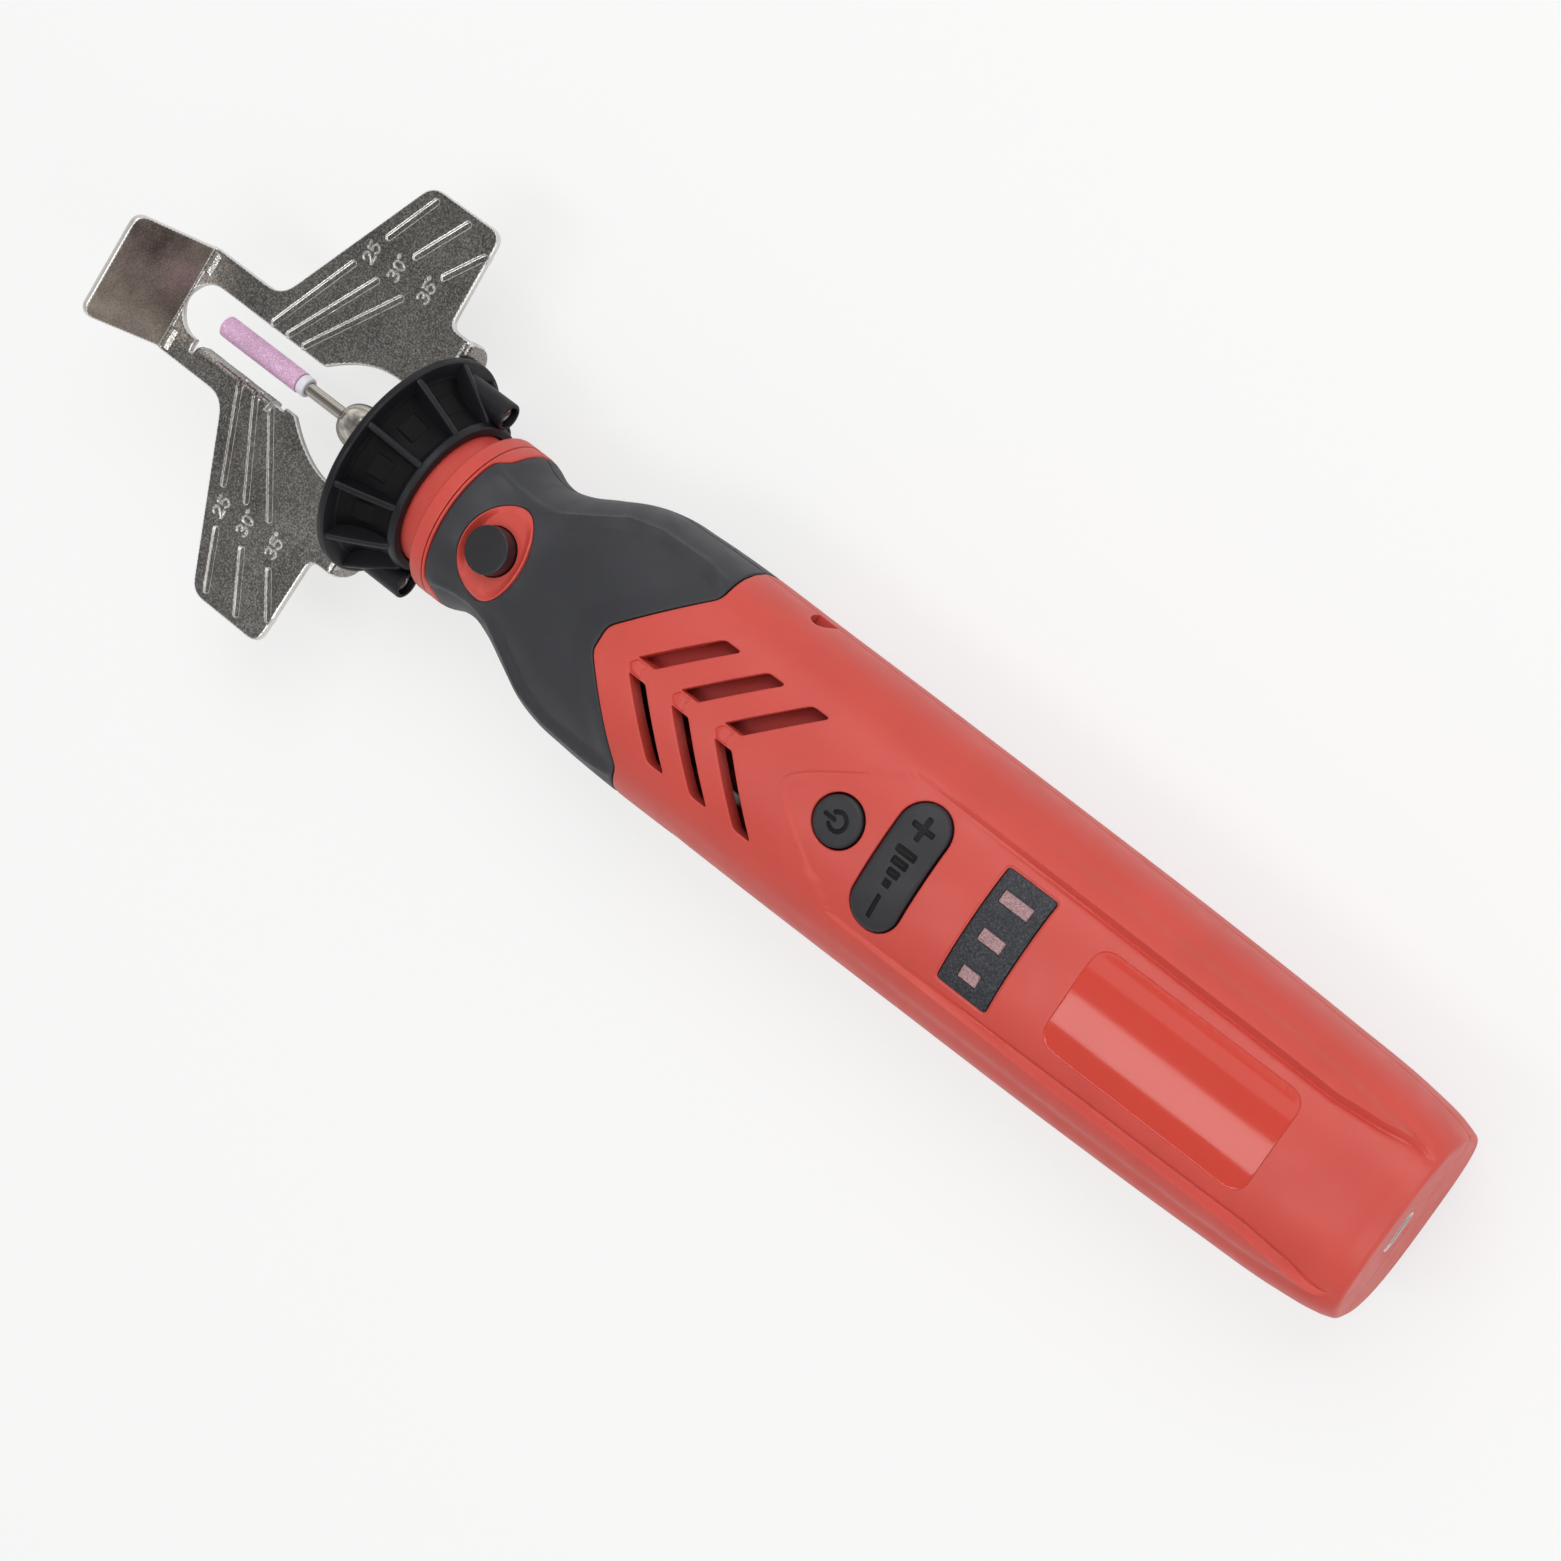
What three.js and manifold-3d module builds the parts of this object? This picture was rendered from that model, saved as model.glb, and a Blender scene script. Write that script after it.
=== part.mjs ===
// Cordless chainsaw sharpener: a slim battery grinder with a small stone at its nose and a stamped
// guide plate on a ribbed collar. Millimetres, +X from the stone to the tail, +Y to the side, +Z up.
// Built round the spindle axis with x = 0 on the collar's front face, then stood on its lowest point.
import * as THREE from 'three';
import { mergeVertices } from 'three/addons/utils/BufferGeometryUtils.js';
import Module from 'manifold-3d';

const wasm = await Module();
wasm.setup();

// Clearances shared by the whole tool.
const seatGap = 0.3;
const partGap = 0.3;
const cutOver = 2;

// Outer body: from the shells' front to the tail, the widest half width, crown and belly.
const body = { front: 23, neck: 43, tailRoom: 11.4, halfWidth: 25.8, top: 19.4, bottom: 19.8, flat: 0.3 };
const shell = { wall: 2.2, rail: 0.8 };
const grip = { depth: 1.8, rear: 67, rearHalf: 2.8, shoulder: 82, shoulderHalf: 19.5, side: 81,
  step: 25.6, stepHalf: 14.6, stepRun: 0.9 };

// Stations of the outer body: place, half width, crown, belly, squareness above and below, rail height.
const neckShares = [
  [0, 0.713, 0.948, 0.929, 2.0, 2.0, 0], [0.08, 0.706, 0.936, 0.917, 2.05, 2.05, 0],
  [0.18, 0.643, 0.903, 0.863, 2.1, 2.1, 0], [0.28, 0.628, 0.898, 0.842, 2.1, 2.1, 0],
  [0.4, 0.682, 0.909, 0.842, 2.15, 2.25, 0.1], [0.56, 0.813, 0.929, 0.871, 2.2, 2.4, 0.4],
  [0.7, 0.923, 0.951, 0.914, 2.25, 2.55, 0.5], [0.84, 0.98, 0.972, 0.955, 2.25, 2.65, 0.4],
];
const barrelShares = [
  [0, 0.996, 0.99, 0.98, 2.3, 2.7, 0.3], [0.2, 1, 1, 1, 2.3, 2.7, 0.3],
  [0.46, 0.98, 0.995, 1, 2.3, 2.7, 0.4], [0.68, 0.95, 0.977, 0.997, 2.4, 2.8, 1],
  [0.84, 0.91, 0.955, 0.988, 2.45, 2.8, 1], [0.94, 0.865, 0.93, 0.968, 2.55, 2.9, 0.4],
  [0.98, 0.815, 0.895, 0.932, 2.6, 2.95, 0], [1, 0.74, 0.83, 0.865, 2.6, 2.95, 0],
];
// Points across a quarter of the section: over the crown, where a rail rises and dips, under the belly and inside.
const crownShares = [0, 0.25, 0.48, 0.61, 0.68, 0.76, 0.86, 0.94, 0.985, 1];
const railShares = [0, 0, 0, 0.3, 1, -0.6, 0, 0, 0, 0];
const bellyShares = [0, 0.28, 0.55, 0.76, 0.9, 0.97, 1];
const insideShares = [0, 0.4, 0.7, 0.9, 0.98, 1];

// Nose ring and guide collar.
const nose = { front: 3, spigot: 15.2, flangeFront: 19.5, flange: 18.4, mouth: 6.5, plug: 12.6, plugLength: 5.5,
  bore: 10.4, edge: 0.5 };
const collar = { length: 14.2, rim: 25.4, rimDepth: 1.8, hubFront: 21.2, hubRear: 17.8, finTop: 24.4, fin: 1.7,
  finCount: 11, edge: 0.9 };
const boss = { radius: 3.1, rear: 14.8, sink: 3.4, web: 2.6 };
const earScrew = { shank: 1.2, head: 2, headDepth: 1.6, past: 0.8, drive: 0.9, driveDepth: 0.8 };

// Guide plate: plan sizes from the collar's front face.
const plate = { thick: 1.6, top: 1.9, bend: -65.4, neckHalf: 12.5, root: -45.3, wing: 49.8, tipFront: -27.2,
  tipRear: -7.3, wingRear: -6.6, corner: 3, fillet: 4, tab: 21.4, tabHalf: 12.2, tabDeg: 70 };
const ear = { across: 20.3, half: 8, drop: 9.6, hole: 1.5 };
const slot = { half: 6, end: 0.6, bulgeFront: -27.5, bulge: 13.2, bulgeRear: -11 };
const lip = { front: -57, rear: -34.5, drop: 4.4, relief: 0.8, reliefRear: -30.5 };
const angleLine = { start: 7, pitch: 4.65, first: -43.3, inner: 27, outer: 35.8, width: 1.5, depth: 0.3 };
const filingDegs = [25, 30, 35];
const lineEnds = [47.5, 47.5, 44];

// Grinding stone, nut and collet.
const stone = { tip: -54, length: 23, radius: 2.4, edge: 0.5, ferrule: 2, ferruleRadius: 2.2, shank: 1.2 };
const nut = { front: -17.8, shoulder: -12.2, rear: -0.8, tip: 2.4, radius: 5.1, grip: 5.5, gripCount: 12,
  groove: 0.45, threadRadius: 4.3, coneFront: -15.8, coneRear: -12.6 };
const domeDegs = [0, 30, 60, 90];
const collet = { front: -15, neck: -11.6, rear: -2, head: 3.4, radius: 2.3, tip: 2, kerf: 0.5, lip: 0.5 };

// Spindle, bearings and coupling.
const spindle = { front: -9.4, thread: 3.9, bore: 2.65, boreDepth: 10, collar: 4.9, shaft: 3.7,
  disc: 7, discHalf: 3, hole: 1.9, holeDepth: 3.6, holeCount: 4, tail: 7.8, end: 3 };
const bearing = { outer: 8, bore: 4, width: 5, front: 6.3, rear: 46, groove: 0.8, trackIn: 5.1, trackOut: 6.9 };
const coupling = { gap: 1.6, length: 13.4, radius: 5.5, flute: 1, fluteCount: 8 };

// Motor and fan.
const fan = { gap: 1.6, width: 5.6, hub: 3.8, radius: 12.8, blade: 1, bladeCount: 9, sweepDeg: 24, plate: 1 };
const motor = { gap: 0.8, can: 40, radius: 14, wall: 1.2, snout: 5, snoutDepth: 2, cap: 3.8, shaft: 1.6 };
const armature = { front: 9, length: 20, radius: 10.4, hub: 4.4, slotHalf: 1.2, poleCount: 5, commutator: 4.2,
  commutatorLength: 6, sleeve: 3 };
const magnet = { thick: 1.1, front: 7, length: 24, spanDeg: 126 };

// Chevron vents, apex first, and the small slots on the seam.
const vent = { apex: 76, pitch: 11.15, inner: 1.8, outer: 14, length: 4.3, run: 12.4, count: 3 };
const sideSlot = { at: 95, length: 6, height: 2.4, depth: 6 };

// Spindle lock.
const lock = { at: 35.8, radius: 4.8, face: 18.8, edge: 0.6, floor: 15.3, padAt: 36.4, padHalf: 7.5,
  padSide: 10.4, padSink: 0.4, flange: 5.7, flangeTop: 11.7, flangeThick: 0.8, wall: 0.9, pin: 1.5, pinTip: 7.5 };
const bridge = { top: 8.1, thick: 0.6, half: 5 };
const spring = { wire: 0.35, radius: 2.7, turnCount: 4 };

// Keys, switches and control board.
const key = { proud: 0.5, gap: 0.45, flange: 0.8, flangeThick: 0.7 };
const power = { at: 128.3, radius: 5.5, foot: 13.4 };
const rocker = { at: 142.8, half: 4.95, reach: 8, foot: 12.8 };
const board = { front: 122.4, length: 50.2, half: 15, under: 7.4, thick: 1.6, post: 1.8, postSide: 12.6,
  postIn: 2.4, postPitch: 31 };
const tact = { half: 3, height: 2.8, plunger: 1.7, plungerTop: 3 };
const chip = { height: 3, length: 9, half: 5, in: 9.6, can: 4, canLength: 10, canIn: 30, canSunk: 1 };

// Display window and its three light bars.
const display = { front: 160.4, length: 12, half: 12.5, sink: 0.25, flange: 0.8, flangeThick: 0.8,
  foot: 13.5, corner: 0.8 };
const bar = { in: 5.2, pitch: 7.8, half: 1.25, gap: 0.15 };
const barLengths = [3.8, 4.8, 6.3];
const label = { front: 182.5, length: 46, half: 12.2, corner: 5, sink: 0.4 };

// Battery, charging socket and ribs.
const cell = { front: 176.4, length: 65, radius: 9.2, across: 9.4, below: 6.5, edge: 0.6, tip: 3, tipHeight: 0.8 };
const strap = { thick: 0.3, half: 13.5, height: 6 };
const usb = { length: 7.6, sink: 0.6, half: 4.47, height: 1.63, wall: 0.3, tongue: 3.3, tongueHeight: 0.35,
  back: 1.2, mouthGap: 0.5 };
const chargeBoard = { rearIn: 3, length: 23.8, half: 9, thick: 1.2, post: 2, postIn: 3.5, postSide: 5.6 };
const rib = { thick: 2, lip: 6.4, motorIn: 3.5, cellIn: 13.6, cellRearIn: 20.4 };

// Housing screws, in pairs from below.
const screw = { shank: 1.4, head: 2.6, headDepth: 1.8, seat: 9, top: 8.5, post: 3.2, sink: 3, sinkWall: 1.2,
  pilot: 1.7, drive: 1.3, driveDepth: 1 };
const screwRow = { front: 56, frontSide: 16, middle: 118, middleSide: 18.6, rearIn: 6.8, rearSide: 13.5 };

// Facets on round forms, and the distance under which two points are one.
const fineCount = 28;
const roundCount = 20;
const hiddenCount = 14;
const smallCount = 8;
const hexCount = 6;
const curveCount = 5;
const coarseCurveCount = 2;
const jawCount = 4;
const mergeReach = 1e-5;
const quarter = Math.PI / 2;

// Places along the tool that follow from the sizes above.
const barrelFront = body.front + body.neck;
const cellRear = cell.front + cell.length;
const tail = cellRear + body.tailRoom;
const bearingSeat = bearing.outer + seatGap;
const frontBearingRear = bearing.front + bearing.width;
const rearBearingRear = bearing.rear + bearing.width;
const couplingFront = rearBearingRear + coupling.gap;
const couplingRear = couplingFront + coupling.length;
const spindleRear = couplingFront + spindle.tail;
const fanFront = couplingRear + fan.gap;
const fanRear = fanFront + fan.width;
const motorFront = fanRear + motor.gap + motor.snoutDepth;
const motorRear = motorFront + motor.can;
const capFront = motorRear + seatGap;
const capRear = capFront + motor.cap;
const shaftBore = motor.shaft + seatGap;
const canBore = motor.radius - motor.wall;
const boardTop = board.under + board.thick;
const chargeUnder = cell.radius - cell.below + seatGap;
const chargeTop = chargeUnder + chargeBoard.thick;
const usbHeight = chargeTop + seatGap + usb.height;
const chargeFront = tail - chargeBoard.rearIn - chargeBoard.length;
const displayRear = display.front + display.length;
const screwPairs = [
  [screwRow.front, screwRow.frontSide], [screwRow.middle, screwRow.middleSide],
  [tail - screwRow.rearIn, screwRow.rearSide],
];

// A closed geometry as a solid, turned right side out where a profile ran the other way round.
function toSolid(form) {
  if (!form.isBufferGeometry) return form;
  const bare = form.index ? form.toNonIndexed() : form.clone();
  bare.deleteAttribute('normal');
  bare.deleteAttribute('uv');
  const merged = mergeVertices(bare, mergeReach);
  const vertProperties = Float32Array.from(merged.attributes.position.array);
  const corners = Array.from(merged.index.array);
  const kept = [];
  const a = new THREE.Vector3();
  const b = new THREE.Vector3();
  const c = new THREE.Vector3();
  let volume = 0;
  for (let i = 0; i < corners.length; i += 3) {
    const [p, q, r] = corners.slice(i, i + 3);
    if (p === q || q === r || r === p) continue;
    a.fromArray(vertProperties, 3 * p);
    b.fromArray(vertProperties, 3 * q);
    c.fromArray(vertProperties, 3 * r);
    volume += a.dot(b.cross(c));
    kept.push(p, q, r);
  }
  if (volume < 0) kept.reverse();
  return new wasm.Manifold(new wasm.Mesh({ numProp: 3, vertProperties, triVerts: Uint32Array.from(kept) }));
}

const join = (...forms) => forms.flat().map(toSolid).reduce((sum, next) => sum.add(next));
const cut = (base, ...cuts) => cuts.flat().map(toSolid).reduce((rest, next) => rest.subtract(next), toSolid(base));
const common = (...forms) => forms.flat().map(toSolid).reduce((rest, next) => rest.intersect(next));

// Copies: one across the tool, and a ring of them about the spindle axis.
const flipped = (geometry) => geometry.clone().scale(1, -1, 1);
const around = (geometry, count, start = 0) => Array.from({ length: count }, (_, i) =>
  geometry.clone().rotateX(start + (2 * Math.PI * i) / count));

function block(x0, x1, y0, y1, z0, z1) {
  const geometry = new THREE.BoxGeometry(x1 - x0, y1 - y0, z1 - z0);
  return geometry.translate((x0 + x1) / 2, (y0 + y1) / 2, (z0 + z1) / 2);
}

// A round form about the spindle axis from [x, radius] points.
function turned(points, count = roundCount) {
  const profile = points.map(([x, r]) => new THREE.Vector2(r, x));
  const closed = profile[0].x === 0 && profile[profile.length - 1].x === 0;
  if (!closed) profile.push(profile[0].clone());
  return new THREE.LatheGeometry(profile, count).rotateZ(-quarter).rotateX(Math.PI / count);
}

function rodX(radius, x0, x1, y = 0, z = 0, count = roundCount) {
  return turned([[x0, 0], [x0, radius], [x1, radius], [x1, 0]], count).translate(0, y, z);
}

function rodZ(radius, x, y, z0, z1, count = roundCount) {
  const geometry = new THREE.CylinderGeometry(radius, radius, z1 - z0, count);
  return geometry.rotateX(quarter).translate(x, y, (z0 + z1) / 2);
}

// A plan outline raised from z0 to z1.
function prism(shape, z0, z1, curveSegments = curveCount) {
  const geometry = new THREE.ExtrudeGeometry(shape, { depth: z1 - z0, bevelEnabled: false, curveSegments });
  return geometry.translate(0, 0, z0);
}

// An outline through [x, y, radius] corners with each corner rounded.
function roundedShape(corners) {
  const shape = new THREE.Shape();
  const count = corners.length;
  corners.forEach(([x, y, radius = 0], i) => {
    const at = new THREE.Vector2(x, y);
    const before = new THREE.Vector2(...corners[(i + count - 1) % count].slice(0, 2));
    const after = new THREE.Vector2(...corners[(i + 1) % count].slice(0, 2));
    const reach = Math.min(radius, at.distanceTo(before) / 2, at.distanceTo(after) / 2);
    const enter = before.sub(at).setLength(reach).add(at);
    const leave = after.sub(at).setLength(reach).add(at);
    if (i === 0) shape.moveTo(enter.x, enter.y);
    else shape.lineTo(enter.x, enter.y);
    if (reach > 0) shape.quadraticCurveTo(at.x, at.y, leave.x, leave.y);
  });
  shape.closePath();
  return shape;
}

const mirrored = (corners) => corners.concat(corners.slice().reverse().map(([x, y, r]) => [x, -y, r]));

function rectangle(x0, x1, half, corner) {
  return roundedShape([[x0, -half, corner], [x1, -half, corner], [x1, half, corner], [x0, half, corner]]);
}

function ellipse(x, halfX, halfY) {
  const shape = new THREE.Shape();
  shape.absellipse(x, 0, halfX, halfY, 0, 2 * Math.PI);
  return shape;
}

// A long hole or key lying across the tool, with round ends.
function stadium(x, half, reach, grow = 0) {
  const shape = new THREE.Shape();
  shape.absarc(x, reach, half + grow, 0, Math.PI);
  shape.absarc(x, -reach, half + grow, Math.PI, 2 * Math.PI);
  shape.closePath();
  return shape;
}

// The outer body's section at x, by a smooth curve through the stations.
const stations = [
  ...neckShares.map(([share, ...rest]) => [body.front + share * body.neck, ...rest]),
  ...barrelShares.map(([share, ...rest]) => [barrelFront + share * (tail - barrelFront), ...rest]),
];
const stationPlaces = stations.map((station) => station[0]);
const stationValues = stations.map((station) => station.slice(1));
const stationCurve = new THREE.CubicInterpolant(Float64Array.from(stationPlaces),
  Float64Array.from(stationValues.flat()), stationValues[0].length);

function sectionAt(x) {
  const [wide, high, low, squareTop, squareBottom, rail] = stationCurve.evaluate(x);
  return {
    halfWidth: wide * body.halfWidth, top: high * body.top, bottom: low * body.bottom, squareTop, squareBottom,
    rail: rail * shell.rail,
  };
}

// One closed ring of the section at x, drawn in by an inset: over the crown and back under the belly.
function sectionRing(x, inset, upShares, downShares, railHeights) {
  const { halfWidth, top, bottom, squareTop, squareBottom, rail } = sectionAt(x);
  const height = (share, square) => (1 - share ** square) ** (1 / square);
  const across = (share) => share * (halfWidth - inset);
  const up = upShares.map((share, i) =>
    [x, across(share), (top - inset) * height(share, squareTop) + rail * (railHeights ? railHeights[i] : 0)]);
  const down = downShares.map((share) => [x, across(share), -(bottom - inset) * height(share, squareBottom)]);
  const right = [...up.slice(1), ...down.slice(0, -1).reverse()];
  const left = right.slice(0, -1).reverse().map(([, y, z]) => [x, -y, z]);
  return [up[0], ...right, ...left];
}

// A skin over rings of equal count, closed by a fan at each end.
function skin(rings) {
  const positions = [];
  const push = (...points) => points.forEach((point) => positions.push(...point));
  const eachSide = (visit) => rings[0].forEach((_, j) => visit(j, (j + 1) % rings[0].length));
  rings.slice(1).forEach((next, i) => eachSide((j, k) => {
    push(rings[i][j], next[j], next[k]);
    push(rings[i][j], next[k], rings[i][k]);
  }));
  const first = rings[0];
  const last = rings[rings.length - 1];
  eachSide((j, k) => {
    push([first[0][0], 0, 0], first[j], first[k]);
    push([last[0][0], 0, 0], last[k], last[j]);
  });
  const geometry = new THREE.BufferGeometry();
  return geometry.setAttribute('position', new THREE.Float32BufferAttribute(positions, 3));
}

function outerLoft(inset, from = body.front, to = tail) {
  const places = stationPlaces.filter((x) => x > from && x < to);
  return toSolid(skin([from, ...places, to].map((x) =>
    sectionRing(x, inset, crownShares, bellyShares, railShares))));
}

// A plain loft for hollows and for what follows the body's curve inside.
function innerLoft(insetAt, from, to, places, shares = insideShares) {
  const inner = places.filter((x) => x > from + seatGap && x < to - seatGap);
  return toSolid(skin([from, ...inner, to].map((x) => sectionRing(x, insetAt(x), shares, insideShares))));
}

// What lies under the crown at a given depth, from a flat foot up, over a plan shape.
function crownBlock(shape, from, to, inset, foot, places = []) {
  return common(prism(shape, foot, 2 * body.top),
    innerLoft(() => inset, from - cutOver, to + cutOver, places, crownShares));
}

// Named pieces in groups, each with a material of its own.
const finishes = {
  red: { color: 0xc8382f, roughness: 0.45 },
  rubber: { color: 0x2b2d31, roughness: 0.7 },
  black: { color: 0x15161a, roughness: 0.55 },
  chrome: { color: 0x9b958e, roughness: 0.25, metalness: 1 },
  steel: { color: 0xa9aaa8, roughness: 0.3, metalness: 1 },
  pink: { color: 0xc98bb8, roughness: 0.9 },
  white: { color: 0xe4e4ea, roughness: 0.6 },
  lens: { color: 0xd9a3ac, roughness: 0.4 },
  copper: { color: 0xa8602c, roughness: 0.4, metalness: 0.8 },
  green: { color: 0x1f5a34, roughness: 0.6 },
  blue: { color: 0x2f63a8, roughness: 0.5 },
  ferrite: { color: 0x3a3a3c, roughness: 0.6 },
};
const tool = new THREE.Group();
const groups = Object.fromEntries(['guide', 'drive', 'shells', 'controls', 'supply'].map((name) => {
  const group = new THREE.Group();
  tool.add(group);
  return [name, group];
}));

function place(group, name, finish, form, position = [0, 0, 0], rotation = [0, 0, 0]) {
  const { vertProperties, triVerts } = toSolid(form).getMesh();
  const geometry = new THREE.BufferGeometry();
  geometry.setAttribute('position', new THREE.BufferAttribute(Float32Array.from(vertProperties), 3));
  geometry.setIndex(new THREE.BufferAttribute(Uint32Array.from(triVerts), 1));
  geometry.computeVertexNormals();
  const mesh = new THREE.Mesh(geometry, new THREE.MeshStandardMaterial(finishes[finish]));
  mesh.name = name;
  mesh.position.set(...position);
  mesh.rotation.set(...rotation);
  groups[group].add(mesh);
}

// Guide plate: one stamping whose tab, lip and ears are turned out of the same sheet.
const plateMid = plate.top - plate.thick / 2;
const earPlane = -seatGap - plate.thick / 2;
const earFar = ear.across + ear.half;

function plateSlot() {
  const shape = new THREE.Shape();
  const middle = (slot.bulgeFront + slot.bulgeRear) / 2;
  shape.absarc(plate.bend + slot.end + slot.half, 0, slot.half, quarter, 3 * quarter);
  shape.lineTo(slot.bulgeFront, -slot.half);
  shape.quadraticCurveTo(middle, -slot.bulge, slot.bulgeRear, -slot.bulge);
  shape.lineTo(cutOver, -slot.bulge);
  shape.lineTo(cutOver, slot.bulge);
  shape.lineTo(slot.bulgeRear, slot.bulge);
  shape.quadraticCurveTo(middle, slot.bulge, slot.bulgeFront, slot.half);
  shape.closePath();
  const under = plate.top - plate.thick - cutOver;
  const relief = block(lip.front, lip.reliefRear, -slot.half - lip.relief, 0, under, plate.top + cutOver);
  return [prism(shape, under, plate.top + cutOver), relief];
}

// The filing-angle lines pressed into each wing, in two runs either side of their numbers.
function plateLines() {
  const half = angleLine.width / 2;
  return filingDegs.flatMap((degrees, index) => {
    const foot = angleLine.first + index * angleLine.pitch;
    const at = (y) => foot + (y - angleLine.start) * Math.tan(THREE.MathUtils.degToRad(degrees));
    return [[angleLine.start, angleLine.inner], [angleLine.outer, lineEnds[index]]].flatMap(([y0, y1]) => {
      const groove = prism(roundedShape([[at(y0) - half, y0, half], [at(y0) + half, y0, half],
        [at(y1) + half, y1, half], [at(y1) - half, y1, half]]), plate.top - angleLine.depth, plate.top + cutOver,
      coarseCurveCount);
      return [groove, flipped(groove)];
    });
  });
}

function guidePlate() {
  const flat = prism(roundedShape(mirrored([
    [plate.bend, plate.neckHalf], [plate.root, plate.neckHalf, plate.fillet],
    [plate.tipFront, plate.wing, plate.corner], [plate.tipRear, plate.wing, plate.corner],
    [plate.wingRear, earFar, plate.corner], [earPlane, earFar],
  ])), plate.top - plate.thick, plate.top);
  const bendRod = (half, x, y) => rodZ(plate.thick / 2, 0, 0, -half, half, smallCount)
    .rotateX(-quarter).translate(x, y, plateMid);
  const tab = prism(roundedShape([
    [0, -plate.tabHalf], [-plate.tab, -plate.tabHalf, plate.corner],
    [-plate.tab, plate.tabHalf, plate.corner], [0, plate.tabHalf],
  ]), -plate.thick / 2, plate.thick / 2)
    .rotateY(THREE.MathUtils.degToRad(plate.tabDeg)).translate(plate.bend, 0, plateMid);
  const earDrop = prism(roundedShape([
    [0, ear.across - ear.half], [0, earFar], [-ear.drop, earFar, ear.half],
    [-ear.drop, ear.across - ear.half, ear.half],
  ]), -plate.thick / 2, plate.thick / 2).rotateY(-quarter).translate(earPlane, 0, plateMid);
  const ears = [earDrop, bendRod(ear.half, earPlane, ear.across)].flatMap((form) => [form, flipped(form)]);
  const earHole = rodX(ear.hole, -plate.thick - cutOver, cutOver, ear.across, 0, smallCount);

  const lipSide = -slot.half - lip.relief - plate.thick / 2;
  const lipRod = rodX(plate.thick / 2, lip.front, lip.rear, lipSide, plateMid, smallCount);
  const lipForm = block(lip.front, lip.rear, lipSide - plate.thick / 2, lipSide + plate.thick / 2,
    plateMid - lip.drop, plateMid);
  return cut(join(cut(flat, plateSlot()), tab, bendRod(plate.tabHalf, plate.bend, 0), ears, lipForm, lipRod),
    earHole, flipped(earHole), plateLines());
}
place('guide', 'guide_plate', 'chrome', guidePlate());

// Guide collar: a thin rim, a conical hub and fins between them, with two bosses for the plate's screws.
function guideCollar() {
  const count = 4 * collar.finCount;
  const bore = nose.spigot + seatGap;
  const inRim = collar.rimDepth / 2;
  const hub = turned([
    [0, bore], [0, collar.rim - collar.edge], [collar.edge, collar.rim], [collar.rimDepth, collar.rim],
    [collar.rimDepth, collar.hubFront], [collar.length, collar.hubRear], [collar.length, bore],
  ], count);
  const fin = prism(roundedShape([
    [inRim, bore + seatGap], [inRim, collar.finTop], [collar.rimDepth, collar.finTop],
    [collar.length, collar.hubRear + collar.edge], [collar.length, bore + seatGap],
  ]), -collar.fin / 2, collar.fin / 2);
  const bossForms = [
    rodX(boss.radius, inRim, boss.rear, ear.across, 0, smallCount),
    block(inRim, collar.length, bore, ear.across, -boss.web / 2, boss.web / 2),
  ];
  const bossHoles = [
    rodX(ear.hole, -cutOver, boss.rear + cutOver, ear.across, 0, smallCount),
    rodX(earScrew.head + seatGap, boss.rear - boss.sink, boss.rear + cutOver, ear.across, 0, smallCount),
  ];
  const both = (forms) => forms.flatMap((form) => [form, flipped(form)]);
  return cut(join(hub, around(fin, collar.finCount, -quarter), both(bossForms)),
    rodX(bore, -cutOver, boss.rear + cutOver, 0, 0, count), both(bossHoles));
}
place('guide', 'guide_collar', 'black', guideCollar());

function collarScrew() {
  const seat = boss.rear - boss.sink + seatGap;
  const front = earPlane - plate.thick / 2 - earScrew.past;
  const back = seat + earScrew.headDepth;
  return cut(turned([[front, 0], [front, earScrew.shank], [seat, earScrew.shank], [seat, earScrew.head],
    [back, earScrew.head], [back, 0]], smallCount),
  rodX(earScrew.drive, back - earScrew.driveDepth, back + cutOver, 0, 0, hexCount));
}
place('guide', 'collar_screw_left', 'steel', collarScrew(), [0, -ear.across, 0]);
place('guide', 'collar_screw_right', 'steel', collarScrew(), [0, ear.across, 0]);

// Grinding stone on its shank.
const stoneRear = stone.tip + stone.length;
const ferruleRear = stoneRear + stone.ferrule;
const shankFront = stone.tip + stone.length / 2;
const shankBore = stone.shank + seatGap;
place('drive', 'stone_abrasive', 'pink', turned([
  [stone.tip, 0], [stone.tip, stone.radius - stone.edge], [stone.tip + stone.edge, stone.radius],
  [stoneRear - seatGap, stone.radius], [stoneRear - seatGap, shankBore], [shankFront - seatGap, shankBore],
  [shankFront - seatGap, 0],
]));
place('drive', 'stone_ferrule', 'white', turned([
  [stoneRear, shankBore], [stoneRear, stone.ferruleRadius], [ferruleRear - stone.edge, stone.ferruleRadius],
  [ferruleRear, stone.ferruleRadius - stone.edge / 2], [ferruleRear, shankBore],
]));
place('drive', 'stone_shank', 'steel', rodX(stone.shank, shankFront, collet.rear, 0, 0, smallCount));

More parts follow.
